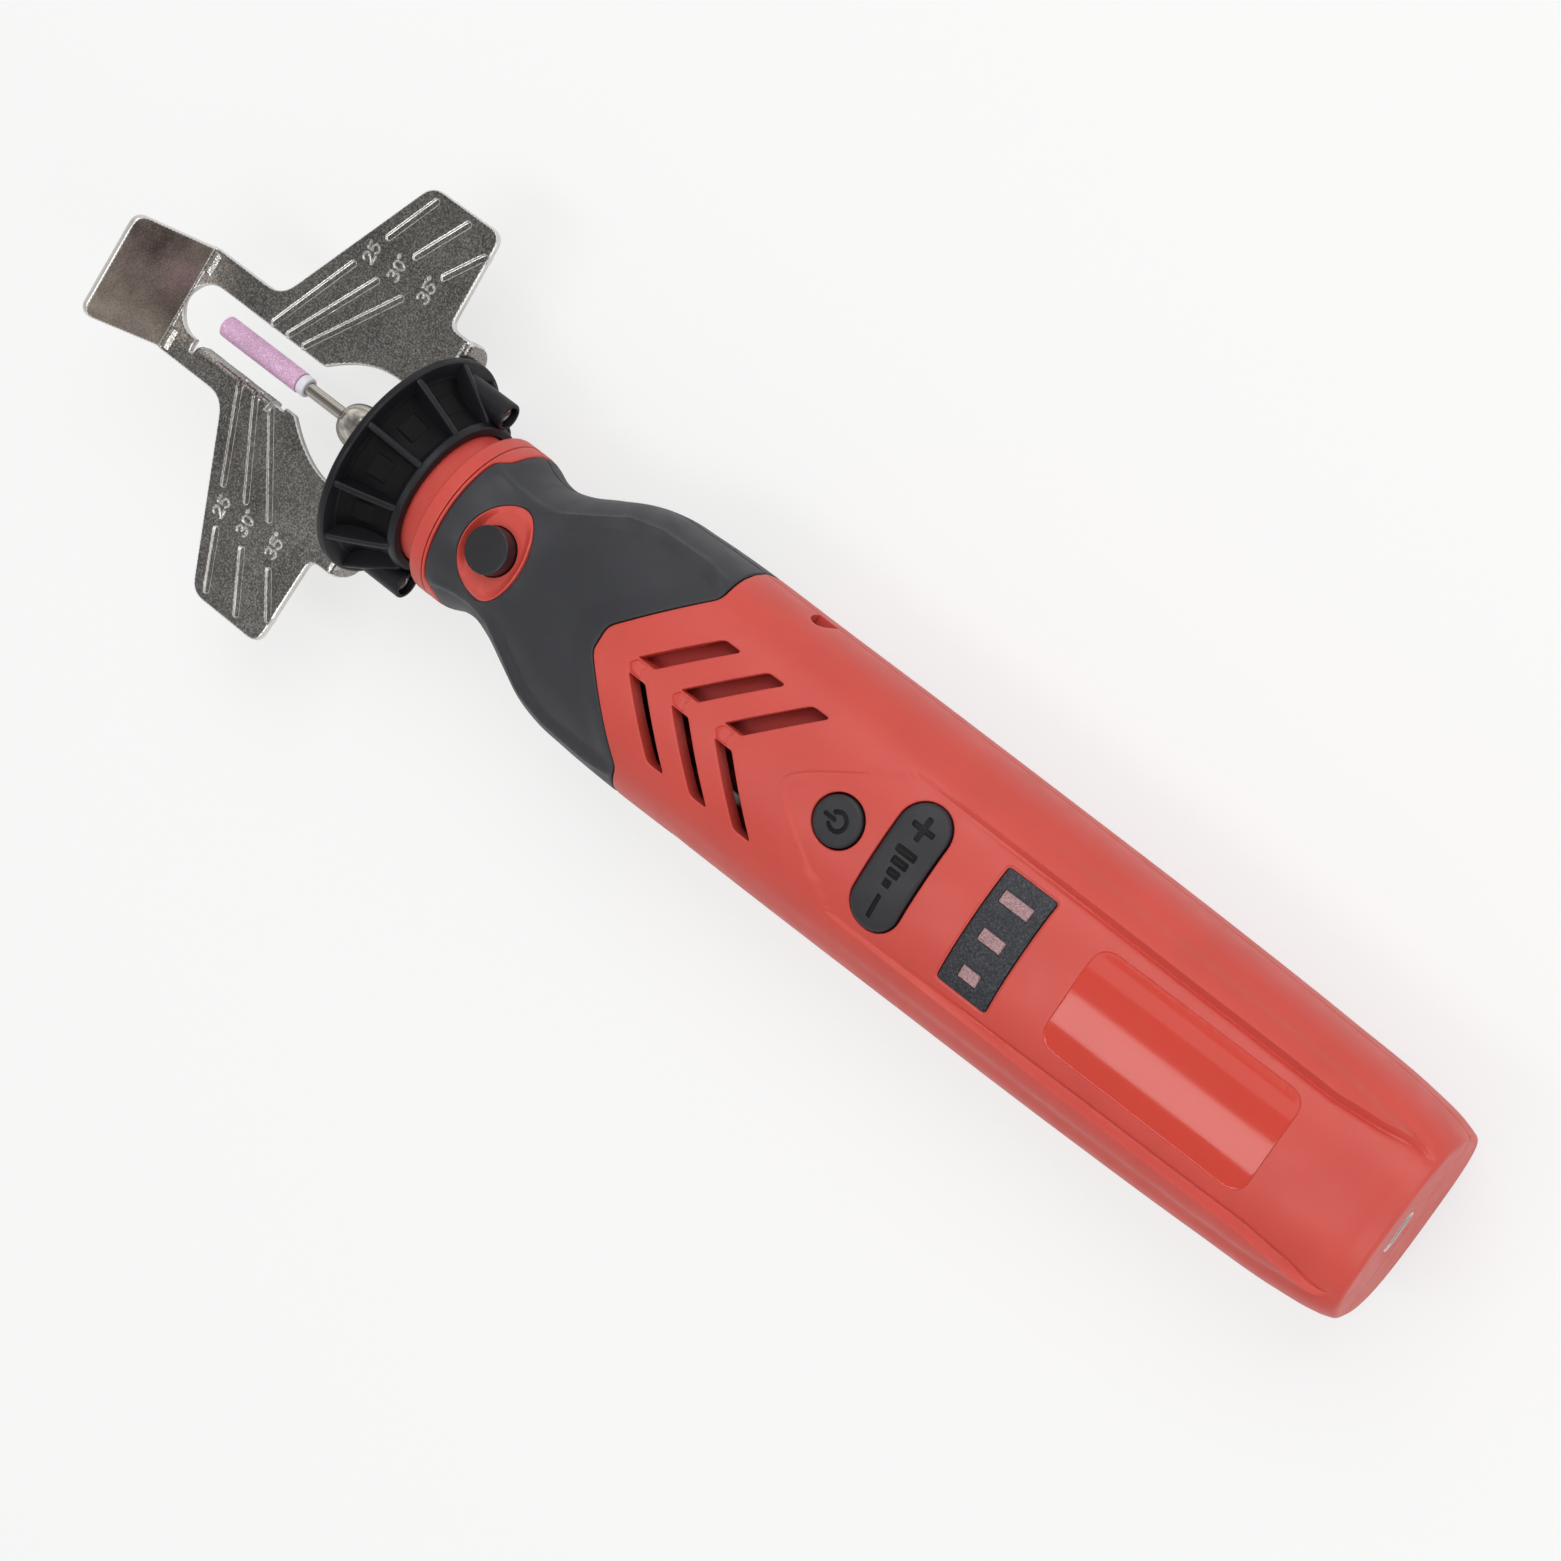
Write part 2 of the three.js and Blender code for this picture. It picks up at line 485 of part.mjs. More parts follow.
// Collet nut: a domed mouth, a fluted grip and a cone that closes the collet.
function colletNut() {
  const run = nut.shoulder - nut.front;
  const dome = domeDegs.map((degrees) => {
    const turn = THREE.MathUtils.degToRad(degrees);
    return [nut.front + run * (1 - Math.cos(turn)), nut.tip + (nut.radius - nut.tip) * Math.sin(turn)];
  });
  const form = turned([
    [nut.front, shankBore], ...dome, [nut.shoulder, nut.grip], [nut.rear, nut.grip], [nut.rear, nut.threadRadius],
    [nut.coneRear, nut.threadRadius], [nut.coneFront, shankBore + seatGap], [nut.coneFront, shankBore],
  ]);
  const flute = rodX(nut.groove, nut.shoulder + nut.groove, nut.rear + cutOver, 0, nut.grip, hexCount);
  return cut(form, around(flute, nut.gripCount));
}
place('drive', 'collet_nut', 'steel', colletNut());

// Collet: four jaws split by two crossed kerfs, with a conical head under the nut.
function colletForm() {
  const form = turned([
    [collet.front, shankBore], [collet.front, collet.tip], [collet.neck, collet.head],
    [collet.neck + collet.lip, collet.radius], [collet.rear, collet.radius], [collet.rear, shankBore],
  ]);
  const kerf = block(collet.front - cutOver, collet.neck + 2 * cutOver, -collet.kerf / 2, collet.kerf / 2,
    -collet.head - cutOver, collet.head + cutOver);
  return cut(form, around(kerf, jawCount));
}
place('drive', 'collet', 'steel', colletForm());

// Spindle: threaded nose with the collet's bore, two bearing seats and the lock's drilled disc.
function spindleForm() {
  const shoulder = bearing.front - seatGap;
  const boreEnd = spindle.front + spindle.boreDepth;
  const form = turned([
    [spindle.front, spindle.bore], [spindle.front, spindle.thread], [0, spindle.thread], [0, spindle.collar],
    [shoulder, spindle.collar], [shoulder, spindle.shaft], [lock.at - spindle.discHalf, spindle.shaft],
    [lock.at - spindle.discHalf, spindle.disc], [lock.at + spindle.discHalf, spindle.disc],
    [lock.at + spindle.discHalf, spindle.shaft], [couplingFront - seatGap, spindle.shaft],
    [couplingFront - seatGap, spindle.end], [spindleRear, spindle.end], [spindleRear, 0],
    [boreEnd, 0], [boreEnd, spindle.bore],
  ], hiddenCount);
  const hole = rodZ(spindle.hole, lock.at, 0, spindle.disc - spindle.holeDepth, spindle.disc + cutOver, smallCount);
  return cut(form, around(hole, spindle.holeCount));
}
place('drive', 'spindle', 'steel', spindleForm());

// Ball bearings, each drawn as one ring with the ball track open on both faces.
const bearingForm = turned([
  [0, bearing.bore], [0, bearing.trackIn], [bearing.groove, bearing.trackIn], [bearing.groove, bearing.trackOut],
  [0, bearing.trackOut], [0, bearing.outer], [bearing.width, bearing.outer], [bearing.width, bearing.trackOut],
  [bearing.width - bearing.groove, bearing.trackOut], [bearing.width - bearing.groove, bearing.trackIn],
  [bearing.width, bearing.trackIn], [bearing.width, bearing.bore],
], hiddenCount);
place('shells', 'front_bearing', 'steel', bearingForm, [bearing.front, 0, 0]);
place('shells', 'rear_bearing', 'steel', bearingForm, [bearing.rear, 0, 0]);

// Shaft coupling: a fluted rubber sleeve between the spindle and the motor shaft.
function couplingForm() {
  const socket = spindleRear + seatGap;
  const form = turned([
    [couplingFront, spindle.end + seatGap], [couplingFront, coupling.radius], [couplingRear, coupling.radius],
    [couplingRear, shaftBore], [socket, shaftBore], [socket, spindle.end + seatGap],
  ], hiddenCount);
  const flute = rodX(coupling.flute, couplingFront + cutOver, couplingRear - cutOver, 0, coupling.radius, hexCount);
  return cut(form, around(flute, coupling.fluteCount));
}
place('drive', 'shaft_coupling', 'rubber', couplingForm());

// Motor: shaft, slotted armature with its commutator, two magnets, can and brush cap.
place('drive', 'motor_shaft', 'steel', rodX(motor.shaft, spindleRear + 2 * seatGap, capRear - seatGap, 0, 0,
  smallCount));

function armatureForm() {
  const front = motorFront + armature.front;
  const rear = front + armature.length;
  const neck = rear + armature.sleeve;
  const form = turned([
    [front - armature.sleeve, shaftBore], [front - armature.sleeve, armature.hub], [front, armature.hub],
    [front, armature.radius], [rear, armature.radius], [rear, armature.hub], [neck, armature.commutator],
    [neck + armature.commutatorLength, armature.commutator], [neck + armature.commutatorLength, shaftBore],
  ], hiddenCount);
  const gap = block(front - cutOver, rear + cutOver, -armature.slotHalf, armature.slotHalf,
    armature.hub + seatGap, armature.radius + cutOver);
  return cut(form, around(gap, armature.poleCount));
}
place('drive', 'motor_armature', 'copper', armatureForm());

function magnetForm() {
  const outer = canBore - seatGap;
  const half = THREE.MathUtils.degToRad(magnet.spanDeg) / 2;
  const arc = new THREE.Shape();
  arc.absarc(0, 0, outer, -half, half);
  arc.absarc(0, 0, outer - magnet.thick, half, -half, true);
  arc.closePath();
  return prism(arc, 0, magnet.length).rotateY(quarter).rotateX(quarter);
}
place('shells', 'magnet_left', 'ferrite', magnetForm(), [motorFront + magnet.front, 0, 0], [Math.PI, 0, 0]);
place('shells', 'magnet_right', 'ferrite', magnetForm(), [motorFront + magnet.front, 0, 0]);
place('shells', 'motor_can', 'steel', turned([
  [-motor.snoutDepth, shaftBore], [-motor.snoutDepth, motor.snout], [0, motor.snout], [0, canBore],
  [motor.wall, motor.radius], [motor.can, motor.radius], [motor.can, canBore], [2 * motor.wall, canBore],
  [2 * motor.wall, shaftBore],
]), [motorFront, 0, 0]);
place('shells', 'motor_end_cap', 'black', turned([
  [0, shaftBore], [0, canBore], [motor.cap - motor.wall, canBore], [motor.cap, motor.snout + motor.wall],
  [motor.cap, shaftBore],
], hiddenCount), [capFront, 0, 0]);

// Cooling fan on the motor shaft: a disc with swept blades.
function fanForm() {
  const face = fan.width - fan.plate;
  const disc = turned([
    [0, shaftBore], [0, fan.hub], [face, fan.hub], [face, fan.radius], [fan.width, fan.radius],
    [fan.width, shaftBore],
  ]);
  const blade = block(0, face + fan.plate / 2, -fan.blade / 2, fan.blade / 2, 0, fan.radius - fan.hub + fan.blade)
    .rotateX(THREE.MathUtils.degToRad(fan.sweepDeg)).translate(0, 0, fan.hub - fan.blade);
  const ring = cut(rodX(fan.radius, 0, fan.width), rodX(shaftBore, -cutOver, fan.width + cutOver));
  return common(join(disc, around(blade, fan.bladeCount)), ring);
}
place('drive', 'cooling_fan', 'black', fanForm(), [fanFront, 0, 0]);

// Nose ring: the collar's spigot, a flange against the body and a plug that closes the two shells.
const flangeRear = body.front - seatGap;
const noseRear = flangeRear + nose.plugLength;
place('shells', 'nose_ring', 'red', turned([
  [nose.front, nose.mouth], [nose.front, nose.spigot - nose.edge], [nose.front + nose.edge, nose.spigot],
  [nose.flangeFront, nose.spigot], [nose.flangeFront, nose.flange - nose.edge],
  [nose.flangeFront + nose.edge, nose.flange], [flangeRear, nose.flange], [flangeRear, nose.plug],
  [noseRear, nose.plug], [noseRear, nose.bore], [frontBearingRear + nose.edge, nose.bore],
  [frontBearingRear + nose.edge, bearingSeat], [bearing.front - seatGap, bearingSeat],
  [bearing.front - seatGap, nose.mouth],
], fineCount));

// Where the soft grip lies on the body: stepped at the nose and a chevron at the rear.
function gripZone(shrink) {
  const wide = 2 * body.halfWidth;
  const front = shrink ? body.front - cutOver : body.front - 2 * cutOver;
  return prism(roundedShape(mirrored([
    [grip.rear - shrink, grip.rearHalf], [grip.shoulder - shrink, grip.shoulderHalf],
    [grip.side - shrink, body.halfWidth], [grip.side - shrink, wide], [grip.step + shrink, wide],
    [grip.step + shrink, grip.stepHalf + grip.stepRun], [front, grip.stepHalf],
  ])), -2 * body.bottom, 2 * body.top);
}
const outerBody = outerLoft(0);
const gripEnd = grip.shoulder + cutOver;
const gripBack = outerLoft(grip.depth, body.front - cutOver, gripEnd);
const gripSeat = outerLoft(grip.depth - seatGap, body.front - cutOver, gripEnd);
const lockWindow = (grow) => prism(ellipse(lock.padAt, lock.padHalf + grow, lock.padSide + grow), 0, 2 * body.top);

// Hollow inside both shells: deeper under the grip, then one wall thick to the tail.
const thinFrom = grip.shoulder + cutOver;
const wallAt = (x) => shell.wall + grip.depth * THREE.MathUtils.clamp((thinFrom + cutOver - x) / cutOver, 0, 1);
const hollowPlaces = [...stationPlaces.filter((x, i) => i % 2 === 0), thinFrom, thinFrom + cutOver];
hollowPlaces.sort((a, b) => a - b);
const hollowFront = noseRear + seatGap;
const hollow = join(innerLoft(wallAt, hollowFront, tail - shell.wall, hollowPlaces),
  rodX(nose.plug + seatGap, body.front - cutOver, hollowFront + seatGap, 0, 0, fineCount));
const webZone = innerLoft((x) => wallAt(x) - shell.wall / 2, hollowFront, tail - shell.wall / 2, hollowPlaces);

// Ribs that carry the rear bearing, the motor and the cells, and posts for the screws.
const webs = [
  [bearing.rear - rib.thick, rearBearingRear + rib.thick],
  ...[motorFront + rib.motorIn, motorRear - rib.motorIn - rib.thick,
    cell.front + rib.cellIn, cellRear - rib.cellRearIn].map((x) => [x, x + rib.thick]),
].map(([x0, x1]) => common(block(x0, x1, -body.halfWidth, body.halfWidth, -body.bottom, body.top), webZone));
const cellSides = [-cell.across, cell.across];
const webCuts = [
  rodX(rib.lip, bearing.rear - 2 * cutOver, rearBearingRear + 2 * cutOver),
  rodX(bearingSeat, bearing.rear - seatGap, rearBearingRear + seatGap),
  rodX(motor.radius + seatGap, motorFront - cutOver, motorRear + cutOver),
  ...cellSides.map((y) => rodX(cell.radius + seatGap, cell.front - cutOver, cellRear + cutOver, y, -cell.below)),
];
const screwSpots = screwPairs.flatMap(([x, y]) => [[x, y], [x, -y]]);
const shellBlank = cut(outerBody, cut(gripZone(0), gripBack));

function halfOf(form, low, high) {
  return common(form, block(0, tail + cutOver, -2 * body.halfWidth, 2 * body.halfWidth, low, high));
}
const upperHalf = (form) => halfOf(form, partGap / 2, 2 * body.top);
const lowerHalf = (form) => halfOf(form, body.flat - body.bottom, -partGap / 2);

// The chevron vents, cut straight down through the crown.
function vents() {
  return Array.from({ length: vent.count }, (_, i) => {
    const apex = vent.apex + i * vent.pitch;
    return prism(roundedShape([[apex, vent.inner], [apex + vent.run, vent.outer],
      [apex + vent.run + vent.length, vent.outer], [apex + vent.length, vent.inner]]),
    motor.radius + seatGap, 2 * body.top);
  }).flatMap((form) => [form, flipped(form)]);
}

// The shallow field for a label, as deep all over under the curved crown.
function labelField() {
  const rear = label.front + label.length;
  const shape = rectangle(label.front, rear, label.half, label.corner);
  return cut(prism(shape, 0, 2 * body.top), crownBlock(rectangle(label.front - seatGap, rear + seatGap,
    label.half + seatGap, 0), label.front, rear, label.sink, -cutOver, stationPlaces));
}

function hangingPost(radius, x, y, foot) {
  return common(rodZ(radius, x, y, foot, 2 * body.top, smallCount), webZone);
}

function housingUpper() {
  const pad = common(lockWindow(-seatGap), outerLoft(lock.padSink, body.front, barrelFront));
  const shelf = common(block(lock.at - bridge.half, lock.at + bridge.half, -body.halfWidth, body.halfWidth,
    bridge.top - bridge.thick, bridge.top), webZone);
  const boardPosts = [board.postIn, board.postIn + board.postPitch].flatMap((x) => [1, -1].map((side) =>
    hangingPost(board.post, board.front + x, side * board.postSide, boardTop + seatGap)));
  const chargePosts = [1, -1].map((side) => hangingPost(chargeBoard.post, chargeFront + chargeBoard.postIn,
    side * chargeBoard.postSide, chargeTop + seatGap));
  const screwPosts = screwSpots.map(([x, y]) => hangingPost(screw.post, x, y, 0));
  const blank = cut(join(shellBlank, pad).subtract(hollow).add(join(webs, screwPosts)), webCuts);
  const slotX = sideSlot.at - sideSlot.length / 2;
  const slotSide = block(slotX, slotX + sideSlot.length, body.halfWidth - sideSlot.depth, body.halfWidth + cutOver,
    -cutOver, sideSlot.height);
  const portHole = prism(stadium(0, usb.height + usb.mouthGap, usb.half - usb.height), -2 * shell.wall, cutOver)
    .rotateY(quarter).translate(tail, 0, usbHeight);
  return upperHalf(cut(join(blank, boardPosts, chargePosts, shelf),
    prism(ellipse(lock.padAt, lock.padHalf - lock.edge, lock.padSide - lock.edge), lock.floor, 2 * body.top),
    rodZ(lock.radius + seatGap, lock.at, 0, lock.flangeTop, 2 * body.top),
    rodZ(lock.flange + seatGap, lock.at, 0, bridge.top, lock.flangeTop + seatGap),
    rodZ(lock.pin + seatGap, lock.at, 0, 0, 2 * body.top, smallCount),
    rodZ(power.radius + key.gap, power.at, 0, boardTop, 2 * body.top),
    prism(stadium(rocker.at, rocker.half, rocker.reach, key.gap), boardTop, 2 * body.top),
    prism(rectangle(display.front, displayRear, display.half, display.corner), boardTop, 2 * body.top,
      coarseCurveCount),
    labelField(),
    vents(), slotSide, flipped(slotSide), portHole,
    screwSpots.map(([x, y]) => rodZ(screw.pilot, x, y, -cutOver, screw.top + seatGap, smallCount))));
}
place('shells', 'housing_upper', 'red', housingUpper());

const sinkHole = (radius, [x, y]) => rodZ(radius, x, y, -2 * body.bottom, -screw.seat, smallCount);

function housingLower() {
  const posts = screwSpots.map(([x, y]) => common(webZone,
    rodZ(screw.sink + screw.sinkWall, x, y, -2 * body.bottom, 0, smallCount)));
  const between = block(cell.front - cutOver, cellRear + cutOver, -cell.across, cell.across, -cell.below, cutOver);
  return lowerHalf(cut(cut(cut(shellBlank, hollow).add(join(webs, posts)), webCuts, between),
    screwSpots.map((spot) => sinkHole(screw.sink, spot)),
    screwSpots.map(([x, y]) => rodZ(screw.pilot, x, y, -2 * body.bottom, cutOver, smallCount))));
}
place('shells', 'housing_lower', 'red', housingLower());

// Soft grip: one skin moulded on each shell, the upper one open over the spindle lock.
const gripSkin = cut(common(outerBody, gripZone(seatGap)), gripSeat);
place('shells', 'grip_upper', 'rubber', cut(upperHalf(gripSkin), lockWindow(0)));
place('shells', 'grip_lower', 'rubber', cut(lowerHalf(gripSkin), screwSpots.map((spot) =>
  sinkHole(screw.sink + seatGap, spot))));

function housingScrew() {
  const seat = -screw.seat - seatGap;
  const foot = seat - screw.headDepth;
  return cut(turned([
    [foot, 0], [foot, screw.head], [seat, screw.head], [seat, screw.shank], [screw.top - screw.shank, screw.shank],
    [screw.top, screw.shank / 2], [screw.top, 0],
  ], smallCount), rodX(screw.drive, foot - cutOver, foot + screw.driveDepth, 0, 0, hexCount));
}
screwSpots.forEach(([x, y], index) => {
  place('shells', `housing_screw_${index + 1}`, 'steel', housingScrew(), [x, y, 0], [0, -quarter, 0]);
});

// Spindle lock: a hollow cap over its spring, with a steel pin that drops into the spindle's disc.
const capInside = lock.face - lock.wall;
place('controls', 'lock_button', 'black', turned([
  [lock.flangeTop - lock.flangeThick, lock.radius - lock.wall], [lock.flangeTop - lock.flangeThick, lock.flange],
  [lock.flangeTop, lock.flange], [lock.flangeTop, lock.radius], [lock.face - lock.edge, lock.radius],
  [lock.face, lock.radius - lock.edge], [lock.face, 0], [capInside, 0], [capInside, lock.radius - lock.wall],
]), [lock.at, 0, 0], [0, -quarter, 0]);
place('controls', 'lock_pin', 'steel', rodX(lock.pin, lock.pinTip, capInside - seatGap, 0, 0, smallCount),
  [lock.at, 0, 0], [0, -quarter, 0]);

class Helix extends THREE.Curve {
  constructor(radius, turns, height) {
    super();
    Object.assign(this, { radius, turns, height });
  }

  getPoint(t, target = new THREE.Vector3()) {
    const turn = 2 * Math.PI * this.turns * t;
    return target.set(this.radius * Math.cos(turn), this.radius * Math.sin(turn), this.height * t);
  }
}

function lockSpring() {
  const height = capInside - bridge.top - 2 * seatGap - 2 * spring.wire;
  const wire = new THREE.Shape();
  wire.absarc(0, 0, spring.wire, 0, 2 * Math.PI);
  return new THREE.ExtrudeGeometry(wire, {
    steps: smallCount * spring.turnCount, extrudePath: new Helix(spring.radius, spring.turnCount, height),
    curveSegments: coarseCurveCount, bevelEnabled: false,
  });
}
place('controls', 'lock_spring', 'steel', lockSpring(), [lock.at, 0, bridge.top + seatGap + spring.wire]);

// Rubber keys that follow the crown, each with a hidden flange round its foot.
function keyForm(shape, flangeShape, at, half, foot) {
  return crownBlock(shape, at - half, at + half, -key.proud, foot)
    .add(toSolid(prism(flangeShape, foot, foot + key.flangeThick)));
}
place('controls', 'power_button', 'rubber', keyForm(ellipse(power.at, power.radius, power.radius),
  ellipse(power.at, power.radius + key.flange, power.radius + key.flange), power.at, power.radius, power.foot));
place('controls', 'speed_rocker', 'rubber', keyForm(stadium(rocker.at, rocker.half, rocker.reach),
  stadium(rocker.at, rocker.half, rocker.reach, key.flange), rocker.at, rocker.half, rocker.foot));

// Control board with its parts underneath, and the three switches on top.
function controlBoard() {
  const chipX = board.front + chip.in;
  const canX = board.front + chip.canIn;
  return join(
    block(board.front, board.front + board.length, -board.half, board.half, board.under, boardTop),
    block(chipX, chipX + chip.length, -chip.half, chip.half, board.under - chip.height, board.under + seatGap),
    rodX(chip.can, canX, canX + chip.canLength, chip.can, board.under - chip.can + chip.canSunk, smallCount));
}
place('controls', 'control_board', 'green', controlBoard());

function tactSwitch() {
  return join(block(-tact.half, tact.half, -tact.half, tact.half, 0, tact.height),
    rodZ(tact.plunger, 0, 0, tact.height / 2, tact.plungerTop, smallCount));
}
place('controls', 'power_switch', 'black', tactSwitch(), [power.at, 0, boardTop + seatGap]);
place('controls', 'speed_up_switch', 'black', tactSwitch(), [rocker.at, rocker.reach, boardTop + seatGap]);
place('controls', 'speed_down_switch', 'black', tactSwitch(), [rocker.at, -rocker.reach, boardTop + seatGap]);

// Display window let into the crown, with three light bars of growing length.
const windowPlan = (grow) => rectangle(display.front + seatGap - grow, displayRear - seatGap + grow,
  display.half - seatGap + grow, display.corner);
const barPlan = (length, y, grow) => {
  const middle = display.front + bar.in;
  const x = length / 2 + grow;
  const half = bar.half + grow;
  return roundedShape([[middle - x, y - half], [middle + x, y - half], [middle + x, y + half],
    [middle - x, y + half]]);
};
const barSpots = barLengths.map((length, i) => [length, (i - 1) * bar.pitch]);
place('controls', 'display_window', 'black', cut(join(
  crownBlock(windowPlan(0), display.front, displayRear, display.sink, display.foot),
  prism(windowPlan(display.flange), display.foot, display.foot + display.flangeThick, coarseCurveCount)),
barSpots.map(([length, y]) => prism(barPlan(length, y, bar.gap), 0, 2 * body.top))));
barSpots.forEach(([length, y], index) => {
  place('controls', `light_bar_${index + 1}`, 'lens', crownBlock(barPlan(length, y, 0), display.front, displayRear,
    display.sink, boardTop + seatGap));
});

// Two battery cells side by side, joined by a strap at their front ends.
const cellForm = turned([
  [0, 0], [0, cell.radius - cell.edge], [cell.edge, cell.radius],
  [cell.length - cell.tipHeight - cell.edge, cell.radius], [cell.length - cell.tipHeight, cell.radius - cell.edge],
  [cell.length - cell.tipHeight, cell.tip], [cell.length, cell.tip], [cell.length, 0],
]);
place('supply', 'battery_cell_left', 'blue', cellForm, [cell.front, -cell.across, -cell.below]);
place('supply', 'battery_cell_right', 'blue', cellForm, [cell.front, cell.across, -cell.below]);
place('supply', 'cell_strap', 'steel', block(-strap.thick, 0, -strap.half, strap.half, -strap.height / 2,
  strap.height / 2), [cell.front - seatGap, 0, -cell.below]);

// Charging board over the cells and the metal socket in the tail.
place('supply', 'charge_board', 'green', block(chargeFront, chargeFront + chargeBoard.length,
  -chargeBoard.half, chargeBoard.half, chargeUnder, chargeTop));

function usbSocket() {
  const inner = usb.height - usb.wall;
  const can = prism(stadium(0, usb.height, usb.half - usb.height), 0, usb.length);
  const mouth = prism(stadium(0, inner, usb.half - usb.height), usb.back, usb.length + cutOver);
  const tongue = block(-usb.tongueHeight, usb.tongueHeight, -usb.tongue, usb.tongue, usb.back / 2,
    usb.length - usb.back);
  return cut(can, mouth).add(toSolid(tongue));
}
place('supply', 'usb_socket', 'steel', usbSocket(), [tail - usb.sink - usb.length, 0, usbHeight], [0, quarter, 0]);

// Stand the tool on its lowest point, over the middle of its length.
const reach = new THREE.Box3().setFromObject(tool, true);
tool.position.set(-(reach.min.x + reach.max.x) / 2, 0, -reach.min.z);

export default tool;
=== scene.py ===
# Cordless chainsaw sharpener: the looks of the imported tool, one section for each piece.
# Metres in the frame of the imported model, with sizes written in the millimetres of the tool.
import math

import bmesh
import bpy
import numpy as np
from mathutils import Matrix, Vector
from mathutils.geometry import delaunay_2d_cdt


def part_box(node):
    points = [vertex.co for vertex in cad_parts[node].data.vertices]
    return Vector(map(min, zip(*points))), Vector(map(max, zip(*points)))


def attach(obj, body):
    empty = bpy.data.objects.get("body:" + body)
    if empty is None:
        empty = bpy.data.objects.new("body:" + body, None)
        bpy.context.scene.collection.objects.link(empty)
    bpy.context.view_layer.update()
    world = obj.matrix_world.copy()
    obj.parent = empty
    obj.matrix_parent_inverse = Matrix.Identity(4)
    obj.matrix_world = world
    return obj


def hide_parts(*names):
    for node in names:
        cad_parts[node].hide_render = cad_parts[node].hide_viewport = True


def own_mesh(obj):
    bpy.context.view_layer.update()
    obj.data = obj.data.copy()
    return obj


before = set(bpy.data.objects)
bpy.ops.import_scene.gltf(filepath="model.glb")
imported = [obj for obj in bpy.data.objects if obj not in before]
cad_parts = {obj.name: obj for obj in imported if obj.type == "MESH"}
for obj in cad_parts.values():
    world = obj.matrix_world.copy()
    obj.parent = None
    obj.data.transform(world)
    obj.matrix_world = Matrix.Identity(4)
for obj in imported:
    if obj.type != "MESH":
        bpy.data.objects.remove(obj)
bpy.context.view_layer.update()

# Camera, lamps and floor. The camera stands where the picture was taken from, high over the keys
# and past the tail, and four broad soft lamps light a pale table.
MM = 0.001
camera_place = Vector((0.2374, 0.1260, 0.5944))
camera_target = Vector((0.0170, -0.0049, 0.0253))
camera_roll = math.radians(-85.47)
camera_data = bpy.data.cameras.new("camera")
camera_data.sensor_width = 36
camera_data.lens = 74.43
camera = bpy.data.objects.new("camera", camera_data)
bpy.context.scene.collection.objects.link(camera)
look = (camera_target - camera_place).to_track_quat("-Z", "Y").to_matrix().to_4x4()
camera.matrix_world = Matrix.Translation(camera_place) @ look @ Matrix.Rotation(camera_roll, 4, "Z")
bpy.context.scene.camera = camera


def set_inputs(node, values):
    """Values for the inputs of a node, by name or number."""
    for socket, value in values.items():
        node.inputs[socket].default_value = value
    return node


def add_node(tree, kind, values=None, **settings):
    """A new node with its settings and the values of its inputs."""
    node = tree.nodes.new(kind)
    for setting, value in settings.items():
        setattr(node, setting, value)
    return set_inputs(node, values or {})


pale = (0.93, 0.93, 0.925, 1)
even_share = 0.72


def stage_material(name, colour, strength):
    """A floor that keeps a part of its shadows and shows the camera an even pale colour for the rest."""
    material = bpy.data.materials.new(name)
    material.use_nodes = True
    tree = material.node_tree
    shader = set_inputs(tree.nodes["Principled BSDF"], {
        "Base Color": colour, "Roughness": 0.9, "Specular IOR Level": 0.1})
    glow = add_node(tree, "ShaderNodeEmission", {"Color": colour, "Strength": strength})
    mix = add_node(tree, "ShaderNodeMixShader")
    path = add_node(tree, "ShaderNodeLightPath")
    share = add_node(tree, "ShaderNodeMath", {1: even_share}, operation="MULTIPLY")
    tree.links.new(path.outputs["Is Camera Ray"], share.inputs[0])
    tree.links.new(share.outputs[0], mix.inputs["Fac"])
    tree.links.new(shader.outputs[0], mix.inputs[1])
    tree.links.new(glow.outputs[0], mix.inputs[2])
    tree.links.new(mix.outputs[0], tree.nodes["Material Output"].inputs["Surface"])
    return material


floor_half = 3
floor_corners = [(x, y, 0) for x, y in ((-floor_half, -floor_half), (floor_half, -floor_half),
                                        (floor_half, floor_half), (-floor_half, floor_half))]
floor_mesh = bpy.data.meshes.new("floor")
floor_mesh.from_pydata(floor_corners, [], [(0, 1, 2, 3)])
floor = bpy.data.objects.new("floor", floor_mesh)
floor_mesh.materials.append(stage_material("pale_table", pale, 1.03))
bpy.context.scene.collection.objects.link(floor)


def lamp(name, place, target, size, power):
    """One rectangular soft lamp that faces a point."""
    data = bpy.data.lights.new(name, "AREA")
    data.shape = "RECTANGLE"
    data.size, data.size_y = size
    data.energy = power
    lamp_object = bpy.data.objects.new(name, data)
    lamp_object.location = place
    facing = (Vector(target) - Vector(place)).to_track_quat("-Z", "Y")
    lamp_object.rotation_mode = "QUATERNION"
    lamp_object.rotation_quaternion = facing
    bpy.context.scene.collection.objects.link(lamp_object)


